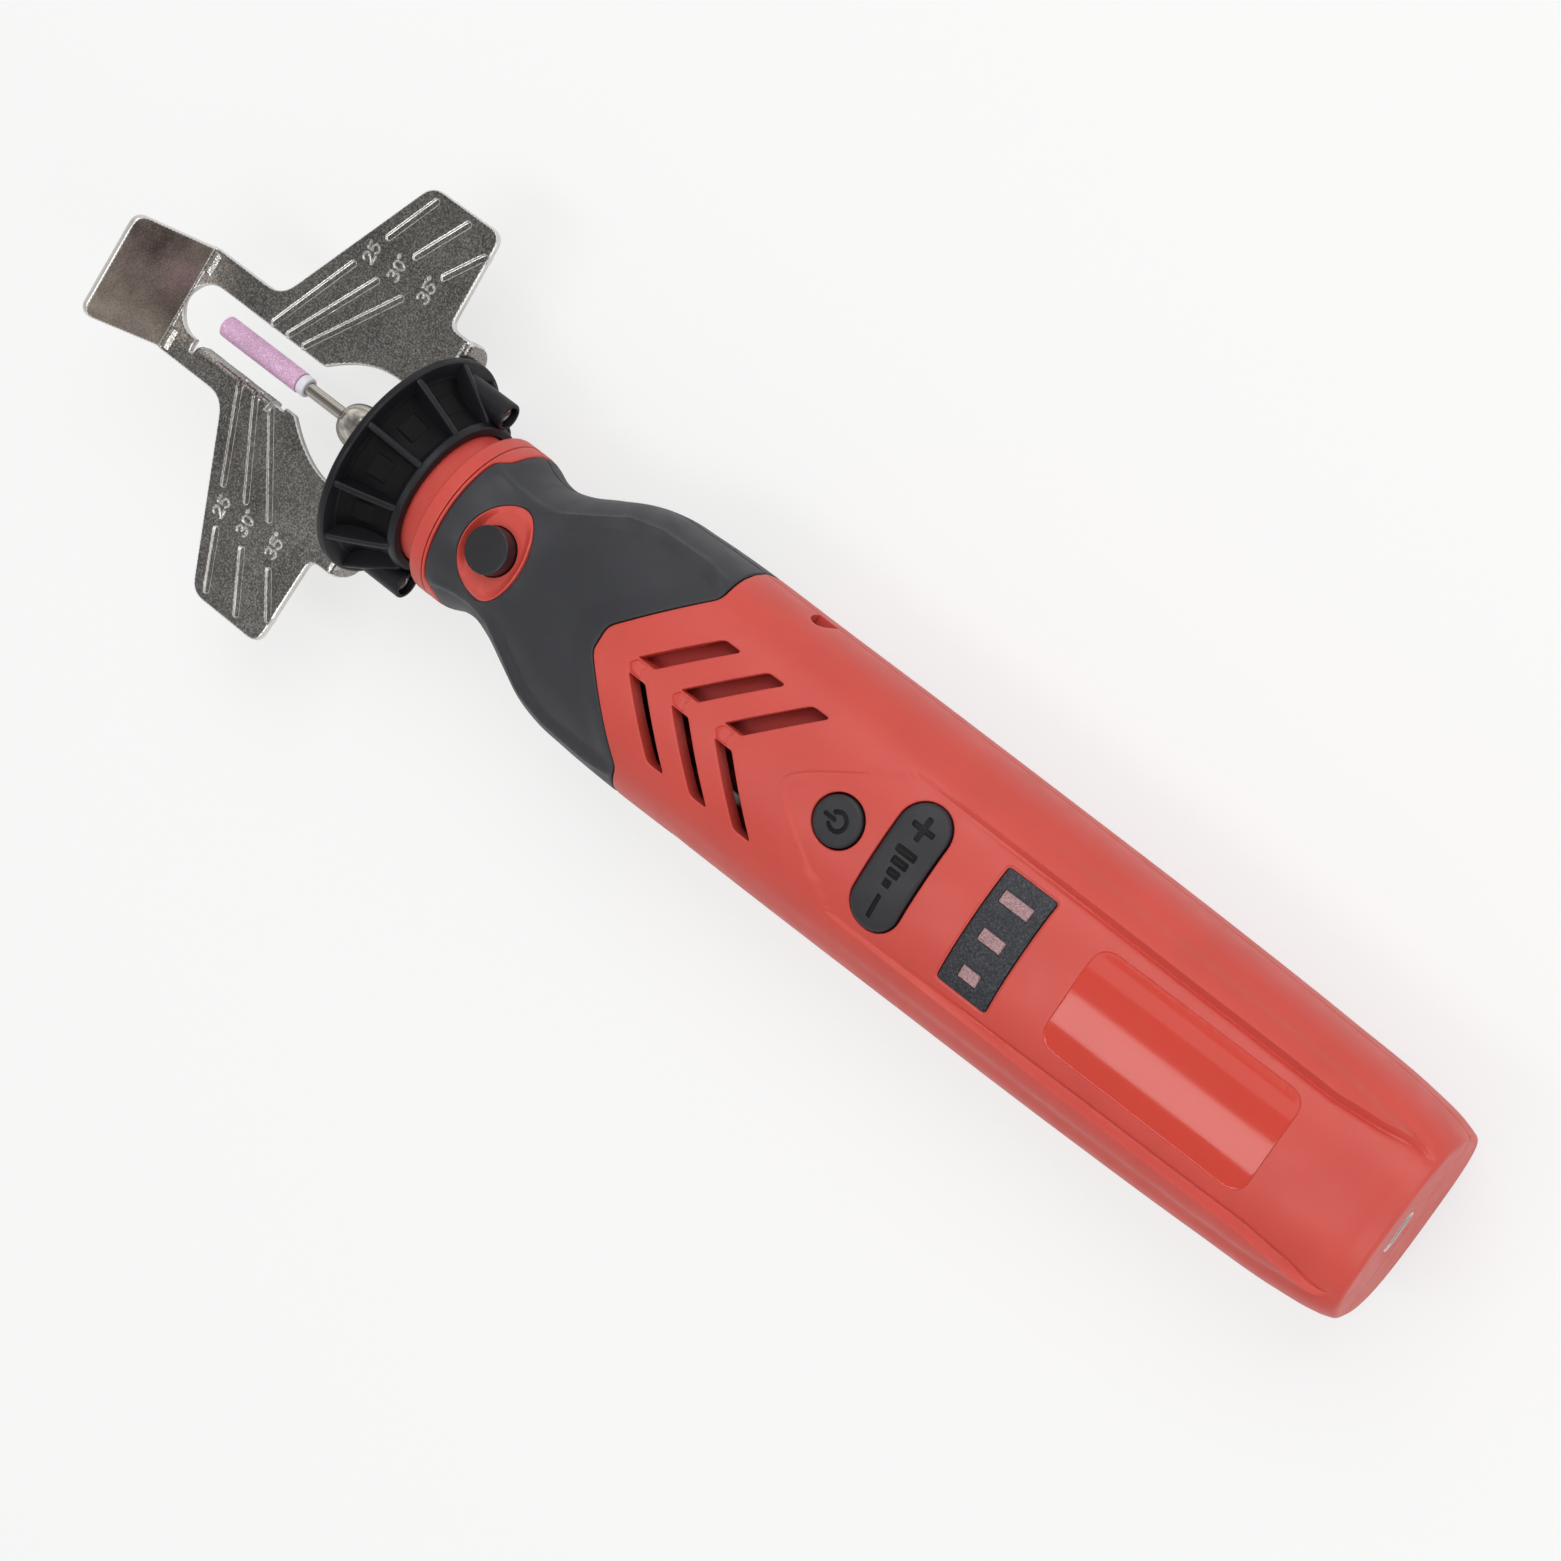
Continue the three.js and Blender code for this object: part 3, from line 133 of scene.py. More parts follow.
lamp("key_lamp", (0.02, 0.62, 0.92), (0.02, 0, 0.02), (0.9, 0.6), 4.5)
lamp("fill_lamp", (-0.08, -0.31, 1.0), (-0.08, 0, 0.02), (0.62, 0.24), 2.0)
lamp("sky_lamp", (-0.08, 0.15, 1.0), (-0.08, 0, 0.02), (0.62, 0.2), 0.4)
lamp("tail_lamp", (0.95, 0.05, 0.55), (0.10, 0, 0.02), (0.6, 0.6), 1.8)


def studio_world(light, horizon, zenith):
    """Even light from all round; polished surfaces see a pale horizon under a dim, cloudy ceiling."""
    studio = bpy.data.worlds.new("studio")
    studio.use_nodes = True
    tree = studio.node_tree
    links = tree.links
    even = set_inputs(tree.nodes["Background"], {"Color": (1, 1, 1, 1), "Strength": light})
    seen = add_node(tree, "ShaderNodeBackground", {"Color": (1, 0.985, 0.965, 1)})
    place = add_node(tree, "ShaderNodeTexCoord")
    split = add_node(tree, "ShaderNodeSeparateXYZ")
    height = add_node(tree, "ShaderNodeMapRange", {
        "From Min": 0.15, "From Max": 0.85, "To Min": horizon, "To Max": zenith},
        interpolation_type="SMOOTHSTEP")
    clouds = add_node(tree, "ShaderNodeTexNoise", {"Scale": 3.2})
    cloud = add_node(tree, "ShaderNodeMapRange", {
        "From Min": 0.35, "From Max": 0.65, "To Min": 0.6, "To Max": 1.5})
    product = add_node(tree, "ShaderNodeMath", operation="MULTIPLY")
    path = add_node(tree, "ShaderNodeLightPath")
    choice = add_node(tree, "ShaderNodeMixShader")
    backdrop = add_node(tree, "ShaderNodeBackground", {"Color": pale})
    shown = add_node(tree, "ShaderNodeMixShader")
    links.new(place.outputs["Generated"], split.inputs[0])
    links.new(place.outputs["Generated"], clouds.inputs["Vector"])
    links.new(split.outputs["Z"], height.inputs["Value"])
    links.new(clouds.outputs["Fac"], cloud.inputs["Value"])
    links.new(height.outputs["Result"], product.inputs[0])
    links.new(cloud.outputs["Result"], product.inputs[1])
    links.new(product.outputs[0], seen.inputs["Strength"])
    links.new(path.outputs["Is Glossy Ray"], choice.inputs["Fac"])
    links.new(even.outputs[0], choice.inputs[1])
    links.new(seen.outputs[0], choice.inputs[2])
    links.new(path.outputs["Is Camera Ray"], shown.inputs["Fac"])
    links.new(choice.outputs[0], shown.inputs[1])
    links.new(backdrop.outputs[0], shown.inputs[2])
    links.new(shown.outputs[0], tree.nodes["World Output"].inputs["Surface"])
    bpy.context.scene.world = studio


studio_world(light=0.46, horizon=0.75, zenith=0.16)
bpy.context.scene.view_settings.view_transform = "Standard"

# Upper and lower shells, moulded in satin red plastic with walls of about two millimetres. They meet
# on the level of the spindle and are held by six screws from below. Sizes are in tool millimetres,
# measured from the front face of the collar and from the spindle's axis.
collar_low, collar_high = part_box("guide_collar")
SPINDLE = Vector((collar_low.x, 0, (collar_low.z + collar_high.z) / 2))
body_front = 23.0
tail = (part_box("housing_upper")[1].x - SPINDLE.x) / MM
neck_length, half_width, crown, belly = 43.0, 25.8, 19.4, 19.8
belly_flat = 19.5
barrel_front = body_front + neck_length
neck_shares = [
    (0, 0.713, 0.948, 0.929, 2.0, 2.0), (0.08, 0.706, 0.936, 0.917, 2.05, 2.05),
    (0.18, 0.643, 0.903, 0.863, 2.1, 2.1), (0.28, 0.628, 0.898, 0.842, 2.1, 2.1),
    (0.4, 0.682, 0.909, 0.842, 2.15, 2.25), (0.56, 0.813, 0.929, 0.871, 2.2, 2.4),
    (0.7, 0.923, 0.951, 0.914, 2.25, 2.55), (0.84, 0.98, 0.972, 0.955, 2.25, 2.65),
]
barrel_shares = [
    (0, 0.996, 0.99, 0.98, 2.3, 2.7), (0.2, 1, 1, 1, 2.3, 2.7), (0.46, 0.98, 0.995, 1, 2.3, 2.7),
    (0.68, 0.95, 0.977, 0.997, 2.4, 2.8), (0.84, 0.91, 0.955, 0.988, 2.45, 2.8),
    (0.94, 0.865, 0.93, 0.968, 2.55, 2.9), (0.98, 0.82, 0.9, 0.935, 2.6, 2.95),
    (1, 0.775, 0.865, 0.885, 2.6, 2.95),
]
station_places = np.array(
    [body_front + row[0] * neck_length for row in neck_shares]
    + [barrel_front + row[0] * (tail - barrel_front) for row in barrel_shares])
station_values = np.array([row[1:] for row in neck_shares + barrel_shares])
station_slopes = np.gradient(station_values, station_places, axis=0)
wall, grip_depth = 2.2, 1.8
end_round, end_span = 0.8, 18.0
ring_scale = 22.0
seam_edge = ring_scale * (math.pi / 2 - 0.008)


def section_at(x):
    """Half width, crown, belly and the squareness above and below of the body at x."""
    x = np.clip(x, station_places[0], station_places[-1])
    i = np.clip(np.searchsorted(station_places, x) - 1, 0, len(station_places) - 2)
    run = station_places[i + 1] - station_places[i]
    t = ((x - station_places[i]) / run)[:, None]
    a, b = station_values[i], station_values[i + 1]
    slope_a, slope_b = station_slopes[i] * run[:, None], station_slopes[i + 1] * run[:, None]
    value = ((2 * t**3 - 3 * t**2 + 1) * a + (t**3 - 2 * t**2 + t) * slope_a
             + (3 * t**2 - 2 * t**3) * b + (t**3 - t**2) * slope_b)
    return value[:, 0] * half_width, value[:, 1] * crown, value[:, 2] * belly, value[:, 3], value[:, 4]


def smooth(low, high, value):
    """A soft step from 0 at low to 1 at high."""
    t = np.clip((value - low) / (high - low), 0, 1)
    return t * t * (3 - 2 * t)


def body_point(along, lateral, depth, side):
    """Points of the body in tool millimetres. along runs down the tool and over the tail's end face,
    lateral runs round the section from the crown or belly to the seam, and depth goes inwards."""
    bend = np.clip((along - tail + end_round) / end_round, 0, math.pi / 2)
    x = np.minimum(along, tail - end_round) + end_round * np.sin(bend)
    inset = end_round * (1 - np.cos(bend)) + depth * np.cos(bend)
    keep = np.clip(1 - (along - tail + end_round - end_round * math.pi / 2) / end_span, 0, 1)
    wide, high, low, square_top, square_low = section_at(np.minimum(x, tail))
    rise, square = (high, square_top) if side > 0 else (low, square_low)
    s, c = np.sin(lateral / ring_scale), np.cos(lateral / ring_scale)
    reach = (np.abs(s) ** square + np.abs(c) ** square) ** (1 / square)
    s, c = s / reach, c / reach
    normal_y = np.sign(s) * np.abs(s) ** (square - 1) / wide
    normal_z = np.abs(c) ** (square - 1) / rise
    length = np.hypot(normal_y, normal_z)
    y = (wide * s - inset * normal_y / length) * keep
    z = (rise * c - inset * normal_z / length) * keep
    if side < 0:
        z = np.minimum(z, belly_flat - depth)
    return np.stack([x - depth * np.sin(bend), y, side * z], axis=1)


def lateral_at(x, y, side=1):
    """Where a plan point lies round the section."""
    x, y = np.atleast_1d(np.asarray(x, float)), np.atleast_1d(np.asarray(y, float))
    wide, high, low, square_top, square_low = section_at(x)
    square = square_top if side > 0 else square_low
    s = np.clip(np.abs(y) / wide, 0, 1)
    c = (1 - s**square) ** (1 / square)
    return np.clip(ring_scale * np.sign(y) * np.arctan2(s, c), -seam_edge, seam_edge)


def on_sheet(plan, side=1):
    """Plan points as places on the sheet of the body's surface."""
    plan = np.asarray(plan, float)
    return np.stack([plan[:, 0], lateral_at(plan[:, 0], plan[:, 1], side)], axis=1)


def rounded(corners, radius, step=0.8, arc=6):
    """A closed outline with rounded corners and points at an even step between them."""
    corners = np.asarray(corners, float)
    radii = np.broadcast_to(radius, len(corners))
    points = []
    for i, corner in enumerate(corners):
        before, after = corners[i - 1] - corner, corners[(i + 1) % len(corners)] - corner
        reach = min(radii[i], np.linalg.norm(before) / 2.05, np.linalg.norm(after) / 2.05)
        start = corner + before / np.linalg.norm(before) * reach
        end = corner + after / np.linalg.norm(after) * reach
        for t in np.linspace(0, 1, arc if reach > 0 else 1):
            points.append((1 - t) ** 2 * start + 2 * t * (1 - t) * corner + t * t * end)
    return stepped(np.array(points), step)


def stepped(points, step, closed=True):
    """Points added along the sides of an outline wherever they are longer than a step."""
    result = []
    count = len(points) if closed else len(points) - 1
    for i in range(count):
        a, b = points[i], points[(i + 1) % len(points)]
        parts = max(1, int(np.ceil(np.linalg.norm(b - a) / step)))
        result += [a + (b - a) * k / parts for k in range(parts)]
    if not closed:
        result.append(points[-1])
    return np.array(result)


def oval(x, y, half_x, half_y, count=56):
    """A closed ellipse."""
    turn = np.arange(count) * 2 * math.pi / count
    return np.stack([x + half_x * np.cos(turn), y + half_y * np.sin(turn)], axis=1)


def capsule(x, half, reach, step=0.7):
    """A long hole across the tool with round ends."""
    turn = np.linspace(0, math.pi, 22)
    upper = np.stack([x + half * np.cos(turn), reach + half * np.sin(turn)], axis=1)
    lower = np.stack([x - half * np.cos(turn), -reach - half * np.sin(turn)], axis=1)
    return stepped(np.concatenate([upper, lower]), step)


def grown(points, distance):
    """A closed outline moved outwards by a distance."""
    turn = np.sum(points[:, 0] * np.roll(points[:, 1], -1) - points[:, 1] * np.roll(points[:, 0], -1))
    along = np.roll(points, -1, axis=0) - np.roll(points, 1, axis=0)
    out = np.stack([along[:, 1], -along[:, 0]], axis=1) * np.sign(turn)
    return points + distance * out / np.maximum(np.linalg.norm(out, axis=1), 1e-9)[:, None]


def inside(points, outline):
    """Which points lie in a closed outline."""
    result = np.zeros(len(points), bool)
    x, y = points[:, 0], points[:, 1]
    for a, b in zip(outline, np.roll(outline, -1, axis=0)):
        if a[1] == b[1]:
            continue
        crossing = (a[1] > y) != (b[1] > y)
        result ^= crossing & (x < (b[0] - a[0]) * (y - a[1]) / (b[1] - a[1]) + a[0])
    return result


class Sheet:
    """A flat pattern of lines and points, cut into triangles that follow every line."""

    def __init__(self, outline, depth=0.0):
        self.outline = np.asarray(outline, float)
        self.holes, self.places, self.values, self.edges = [], [], [], []
        self.count = 0
        self.line(self.outline, depth)

    def line(self, points, depth=0.0, closed=True, level=np.nan):
        """A line that triangle edges follow, at a depth below the surface or at a level of its own."""
        points = np.asarray(points, float)
        last = len(points) if closed else len(points) - 1
        self.edges += [(self.count + i, self.count + (i + 1) % len(points)) for i in range(last)]
        self.add(points, depth, level)

    def add(self, points, depth=0.0, level=np.nan):
        """Points of the pattern, with their depths and levels."""
        self.places.append(points)
        values = np.zeros((len(points), 2))
        values[:, 0], values[:, 1] = depth, level
        self.values.append(values)
        self.count += len(points)

    def hole(self, outline, roll=0.35, map_out=lambda points: points, foot=0.0):
        """An opening whose rim rolls over by a quarter round."""
        for share in (1.0, 0.6, 0.28, 0.08):
            angle = math.acos(1 - share) if share < 1 else math.pi / 2
            drop = roll * (1 - math.sin(angle))
            self.line(map_out(grown(outline, roll * share)), foot + drop)
        self.line(map_out(outline), foot + roll)
        self.holes.append(map_out(outline))

    def fill(self, step_x, step_y, depth_at=None, clear=0.32):
        """Even points over the whole pattern, away from its lines."""
        lines = np.concatenate(self.places)
        low, high = self.outline.min(0), self.outline.max(0)
        xs = np.arange(low[0] + step_x / 2, high[0], step_x)
        ys = np.arange(low[1] + step_y / 2, high[1], step_y)
        grid = np.stack(np.meshgrid(xs, ys, indexing="ij"), axis=-1)
        grid[::2, :, 1] += step_y / 2
        grid = grid.reshape(-1, 2)
        grid = grid[inside(grid, self.outline)]
        for hole in self.holes:
            grid = grid[~inside(grid, hole)]
        cell = 2.0
        near = {}
        for point in lines:
            near.setdefault((int(point[0] // cell), int(point[1] // cell)), []).append(point)
        keep = np.ones(len(grid), bool)
        for i, point in enumerate(grid):
            column, row = int(point[0] // cell), int(point[1] // cell)
            around = [q for dx in (-1, 0, 1) for dy in (-1, 0, 1)
                      for q in near.get((column + dx, row + dy), ())]
            if around and np.min(np.abs(np.array(around) - point).max(axis=1)) < clear:
                keep[i] = False
        grid = grid[keep]
        self.add(grid, 0.0 if depth_at is None else depth_at(grid))

    def cut(self):
        """Triangles, places, depths and levels of the pattern."""
        places = np.concatenate(self.places)
        values = np.concatenate(self.values)
        found, _, faces, origins, _, _ = delaunay_2d_cdt(
            [Vector(p) for p in places], self.edges, [], 0, 1e-5, True)
        points = np.array([tuple(p) for p in found])
        taken = np.array([values[o[0]] if o else values[np.argmin(np.abs(places - p).sum(axis=1))]
                          for o, p in zip(origins, points)])
        triangles = np.array([f for f in faces if len(f) == 3])
        middle = points[triangles].mean(axis=1)
        keep = inside(middle, self.outline)
        for hole in self.holes:
            keep &= ~inside(middle, hole)
        return triangles[keep], points, taken[:, 0], taken[:, 1]


def walled(triangles, outer, inner):
    """One closed mesh from an outer and an inner skin over the same triangles."""
    used = np.unique(triangles)
    index = np.full(len(outer), -1)
    index[used] = np.arange(len(used))
    triangles = index[triangles]
    outer, inner = outer[used], inner[used]
    count = len(outer)
    sides = {}
    for a, b, c in triangles:
        for edge in ((a, b), (b, c), (c, a)):
            sides[edge] = True
    rim = [edge for edge in sides if (edge[1], edge[0]) not in sides]
    faces = [tuple(t) for t in triangles] + [(t[2] + count, t[1] + count, t[0] + count) for t in triangles]
    faces += [(b, a, a + count, b + count) for a, b in rim]
    return np.concatenate([outer, inner]), faces


def mesh_object(name, points, faces, materials, merge=0.0005, chosen=None):
    """A finished object from points in tool millimetres, with its faces turned outwards."""
    points = np.asarray(points, float)
    mesh = bpy.data.meshes.new(name)
    placed = points * MM + np.array(SPINDLE)
    mesh.from_pydata([tuple(p) for p in placed], [], [tuple(map(int, f)) for f in faces])
    for material in materials:
        mesh.materials.append(material)
    if chosen is not None:
        mesh.polygons.foreach_set("material_index", np.asarray(chosen, np.int32))
    work = bmesh.new()
    work.from_mesh(mesh)
    bmesh.ops.remove_doubles(work, verts=work.verts, dist=merge * MM)
    bmesh.ops.dissolve_degenerate(work, dist=merge * MM, edges=work.edges)
    if work.calc_volume(signed=True) < 0:
        bmesh.ops.reverse_faces(work, faces=work.faces)
    work.to_mesh(mesh)
    work.free()
    mesh.shade_smooth()
    result = bpy.data.objects.new(name, mesh)
    bpy.context.scene.collection.objects.link(result)
    return result


def settle_normals(target, sharp=40):
    """Edges over an angle stay sharp, and large faces rule the shading of the others."""
    work = bmesh.new()
    work.from_mesh(target.data)
    for edge in work.edges:
        if len(edge.link_faces) == 2:
            edge.smooth = edge.calc_face_angle(0.0) < math.radians(sharp)
    work.to_mesh(target.data)
    work.free()
    weighted = target.modifiers.new("weighted", "WEIGHTED_NORMAL")
    weighted.keep_sharp = True
    weighted.weight = 60
    graph = bpy.context.evaluated_depsgraph_get()
    finished = bpy.data.meshes.new_from_object(target.evaluated_get(graph), depsgraph=graph)
    target.modifiers.clear()
    target.data = finished


def finish_material(name, colour, roughness, metallic=0.0, speck=0.0, speck_size=0.4, bump=0.0,
                    bump_size=0.12, spread=0.05, coat=0.0, lighter_edges=0.0, grain=0.0, grain_size=0.4,
                    height=0.06, specular=0.5, edge_tint=1.0):
    """A moulded, rubber or metal finish: uneven colour, fine grain in the bump and a varying gloss."""
    material = bpy.data.materials.new(name)
    material.use_nodes = True
    tree = material.node_tree
    links = tree.links
    shader = set_inputs(tree.nodes["Principled BSDF"], {
        "Metallic": metallic, "Coat Weight": coat, "Coat Roughness": 0.08, "Specular IOR Level": specular,
        "Specular Tint": (edge_tint, edge_tint, edge_tint, 1)})
    place = add_node(tree, "ShaderNodeTexCoord")

    def noise(size, detail):
        texture = add_node(tree, "ShaderNodeTexNoise", {"Scale": 1 / (size * MM), "Detail": detail})
        links.new(place.outputs["Object"], texture.inputs["Vector"])
        return texture.outputs["Fac"]

    def ranged(source, low, high, from_low=0.3, from_high=0.7):
        turn = add_node(tree, "ShaderNodeMapRange", {
            "From Min": from_low, "From Max": from_high, "To Min": low, "To Max": high})
        links.new(source, turn.inputs["Value"])
        return turn.outputs["Result"]

    def brighter(gain, lift=0.0):
        return (*[min(1.0, c * gain + lift) for c in colour], 1)

    def laid_over(under, over, share):
        mix = add_node(tree, "ShaderNodeMix", {"B": over}, data_type="RGBA")
        links.new(under, mix.inputs["A"])
        links.new(share, mix.inputs["Factor"])
        return mix.outputs["Result"]

    blend = add_node(tree, "ShaderNodeMix", {"A": brighter(1 - spread), "B": brighter(1 + spread)},
                     data_type="RGBA")
    links.new(ranged(noise(14.0, 3.0), 0, 1), blend.inputs["Factor"])
    colour_out = blend.outputs["Result"]
    if grain:
        mottled = add_node(tree, "ShaderNodeVectorMath", operation="SCALE")
        links.new(colour_out, mottled.inputs[0])
        links.new(ranged(noise(grain_size, 3.0), 1 - grain, 1 + grain, 0.35, 0.65), mottled.inputs["Scale"])
        colour_out = mottled.outputs[0]
    if speck:
        spots = ranged(noise(speck_size, 1.0), 0, speck, 0.58, 0.68)
        colour_out = laid_over(colour_out, brighter(1.8, 0.015), spots)
    # Convex edges, found by their pointiness, get a lighter colour laid over them.
    if lighter_edges:
        edges = add_node(tree, "ShaderNodeNewGeometry").outputs["Pointiness"]
        colour_out = laid_over(colour_out, brighter(1.5, 0.012), ranged(edges, 0, lighter_edges, 0.53, 0.62))
    links.new(colour_out, shader.inputs["Base Color"])
    gloss_out = ranged(noise(5.0, 4.0), roughness * 0.88, min(1.0, roughness * 1.12))
    links.new(gloss_out, shader.inputs["Roughness"])
    if bump:
        relief = add_node(tree, "ShaderNodeBump", {"Strength": bump, "Distance": height * MM})
        links.new(noise(bump_size, 2.0), relief.inputs["Height"])
        links.new(relief.outputs["Normal"], shader.inputs["Normal"])
    return material


red_plastic = finish_material("red_plastic", (0.61, 0.072, 0.054), 0.42, bump=0.18, bump_size=0.16,
                              spread=0.04, lighter_edges=0.25, specular=0.42)
red_gloss = finish_material("red_gloss_field", (0.62, 0.062, 0.042), 0.09, spread=0.02, specular=0.4)

# The chevron that the soft grip fills, as lines across the body: its rear edge and its stepped front.
grip_rear = [(81.0, half_width), (82.0, 19.5), (67.0, 2.8)]
grip_front = [(26.2, half_width), (26.2, 15.3), (23.6, 14.0)]


def across(corners, shift, side=1):
    """A line over the body from seam to seam through mirrored plan corners, moved along by a shift."""
    right = [(x, y) for x, y in corners]
    both = [(x, -y) for x, y in right] + right[::-1]
    plan = stepped(np.array(both, float), 1.0, closed=False)
    kinked = on_sheet(plan, side)
    kinked[0, 1], kinked[-1, 1] = -seam_edge, seam_edge
    eased = kinked.copy()
    for _ in range(2):
        eased[1:-1] = (eased[:-2] + 2 * eased[1:-1] + eased[2:]) / 4
    eased[:, 0] += shift
    return eased


def grip_zone(shift, side=1):
    """The closed outline of the grip on the sheet, drawn in by a shift at both ends."""
    return np.concatenate([across(grip_front, shift, side), across(grip_rear, -shift, side)[::-1]])


# Lines and fields of the crown: a shallow field opens as a rounded V ahead of the keys and runs
# to the tail between two rails, whose inner walls are crisp and whose outer sides fall away softly.
field_apex, field_slope, field_soft, field_edge = 114.0, 1.65, 3.0, 0.65
rail_inner = ([110, 200, 232, 241, 246, 250], [0.612, 0.612, 0.625, 0.675, 0.725, 0.755])
rail_outer = ([110, 232, 244, 250], [0.83, 0.83, 0.80, 0.775])
field_grows, groove_grows, groove_fades = (118, 200), (135, 190), (238, 250)
rail_grows, rail_fades, valley_grows = (122, 150), (247, 251), (84, 100)
field_depth, field_deeper, groove_depth = 0.36, 0.28, 0.5
rail_height, rail_higher, valley_depth, valley_deeper = 0.1, 0.7, 0.14, 0.3


def crown_relief(x, y):
    """Depth of the moulded field and height of the rails over the crown, in millimetres inwards."""
    share = np.abs(y) / section_at(x)[0]
    inner, outer = np.interp(x, *rail_inner), np.interp(x, *rail_outer)
    growth = smooth(*field_grows, x)
    closing = 1 - smooth(tail - 3.2, tail - 0.3, x)
    ahead = x - field_apex - field_slope * (np.sqrt(y * y + field_soft**2) - field_soft)
    inside_rail = 1 - smooth(inner - 0.004, inner + 0.02, share)
    field = smooth(0.0, field_edge, ahead) * inside_rail * closing
    groove = np.exp(-(((share - inner + 0.014) / 0.018) ** 2))
    groove = groove * smooth(*groove_grows, x) * (1 - smooth(*groove_fades, x))
    up = smooth(inner, inner + 0.024, share)
    down = np.clip((share - inner - 0.03) / (outer - inner - 0.03), 0, 1)
    rail = up * (1 - down) * smooth(*rail_grows, x) * (1 - smooth(*rail_fades, x))
    beyond = np.exp(-(((share - outer) / 0.055) ** 2)) * (share >= outer)
    before = np.clip((share - outer + 0.07) / 0.07, 0, 1) * (share < outer)
    valley = (beyond + before) * smooth(*valley_grows, x) * closing
    return (field * (field_depth + field_deeper * growth) + groove * groove_depth
            - rail * (rail_height + rail_higher * growth) + valley * (valley_depth + valley_deeper * growth))


lock_x, lock_pad_x, lock_pad, lock_hole = 35.8, 36.4, (7.5, 10.4), 5.2
lock_floor, lock_floor_half, bowl_points = 15.3, (5.45, 8.6), 64
vent_limb = [(76.0, 1.75), (88.3, 14.2), (92.6, 14.2), (80.3, 1.75)]
vent_pitch, vent_count, vent_lip = 11.15, 3, 2.0
vent_bridge = [(75.2, 0.0), (76.3, 1.35), (78.9, 1.35), (77.9, 0.0), (78.9, -1.35), (76.3, -1.35)]
power_x, power_radius = 128.0, 5.1
rocker_x, rocker_half, rocker_reach = 142.8, 5.3, 8.2
key_gap = 0.4
window_front, window_rear, window_half = 159.7, 171.4, 12.6
gloss_front, gloss_rear, gloss_half, gloss_middle = 182.3, 228.5, 11.1, 0.6
gloss_corner, gloss_depth = 4.2, 0.3
port_low, port_high = [(corner - SPINDLE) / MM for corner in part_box("usb_socket")]
port_half = port_high.y + 0.1
port_level = (port_low.z + port_high.z) / 2
port_rise = (port_high.z - port_low.z) / 2 + 0.1
notch_x, notch_half, notch_rise, notch_square = 97.3, 2.4, 6.0, 0.6
end_start = tail - end_round + end_round * math.pi / 2
sheet_end = end_start + end_span * 0.985


def end_face(plan):
    """Points of the tail's end face, given across and up, as places on the sheet."""
    y, z = plan[:, 0], plan[:, 1]
    places = np.full(len(y), tail)
    wide, high, _, square, _ = section_at(places)
    wide, high = wide - end_round, high - end_round
    s, c = np.abs(y) / wide, np.abs(z) / high
    keep = (s**square + c**square) ** (1 / square)
    return np.stack([end_start + end_span * (1 - keep), ring_scale * np.sign(y) * np.arctan2(s, c)], axis=1)


def shell_outline(notched):
    """The sheet of one shell: the front edge, both seams and the middle of the end face."""
    seam = [(body_front, -seam_edge)]
    if notched:
        rise = notch_rise / crown * ring_scale
        turn = np.linspace(0, math.pi, 13)
        seam += zip(notch_x - notch_half * np.cos(turn), -seam_edge + rise * np.sin(turn) ** notch_square)
    seam.append((sheet_end, -seam_edge))
    other = [(x, -v) for x, v in seam][::-1]
    return stepped(np.array(seam + other, float), 1.6)


seat_fades, straight_fades = (84, 86), (0.85, 1.1)
vent_thick_from, vent_thick_to = (70, 73), (116, 119)
vent_thick_low, vent_thick_high = (-20, -17), (-0.5, 0.5)


def shell_inner(points, side):
    """The inner skin: one wall in, deeper behind the grip and at the vents on the -Y side, and straight
    down under the middle of the crown."""
    along, lateral = points[:, 0], points[:, 1]
    depth = wall + grip_depth * (1 - smooth(*seat_fades, along)) * (along < tail)
    if side > 0:
        behind_vents = smooth(*vent_thick_from, along) * (1 - smooth(*vent_thick_to, along))
        beside_vents = smooth(*vent_thick_low, lateral) * (1 - smooth(*vent_thick_high, lateral))
        depth = np.maximum(depth, wall + vent_lip * behind_vents * beside_vents)
    skin = body_point(along, lateral, depth, side)
    outer = body_point(along, lateral, np.zeros(len(along)), side)
    on_top = (1 - smooth(*straight_fades, np.abs(lateral) / ring_scale)) * (along < tail - end_round)
    x, y = outer[:, 0], outer[:, 1]
    wide, high, low, square_top, square_low = section_at(x)
    rise, square = (high, square_top) if side > 0 else (low, square_low)
    s = np.clip(np.abs(y) / (wide - depth), 0, 0.999)
    straight = np.stack([x, y, side * (rise - depth) * (1 - s**square) ** (1 / square)], axis=1)
    return skin + (straight - skin) * on_top[:, None]


def shell(name, side, sheet, extra_depth, materials, field=None):
    """A shell from its cut sheet, with the deeper seat of the grip."""
    triangles, points, depth, level = sheet.cut()
    along, lateral = points[:, 0], points[:, 1]
    depth[seam_seat(points, side)] = grip_depth
    outer = body_point(along, lateral, depth + extra_depth(points), side)
    fixed = np.isfinite(level)
    plain = body_point(along, lateral, np.zeros(len(along)), side)
    outer[fixed, :2] = plain[fixed, :2]
    outer[fixed, 2] = level[fixed]
    inner = shell_inner(points, side)
    vertices, faces = walled(triangles, outer, inner)
    chosen = np.zeros(len(faces), int)
    if field is not None:
        chosen[:len(triangles)] = inside(points[triangles].mean(axis=1), field)
    piece = mesh_object(name, vertices, faces, materials, chosen=chosen)
    settle_normals(piece)
    return piece


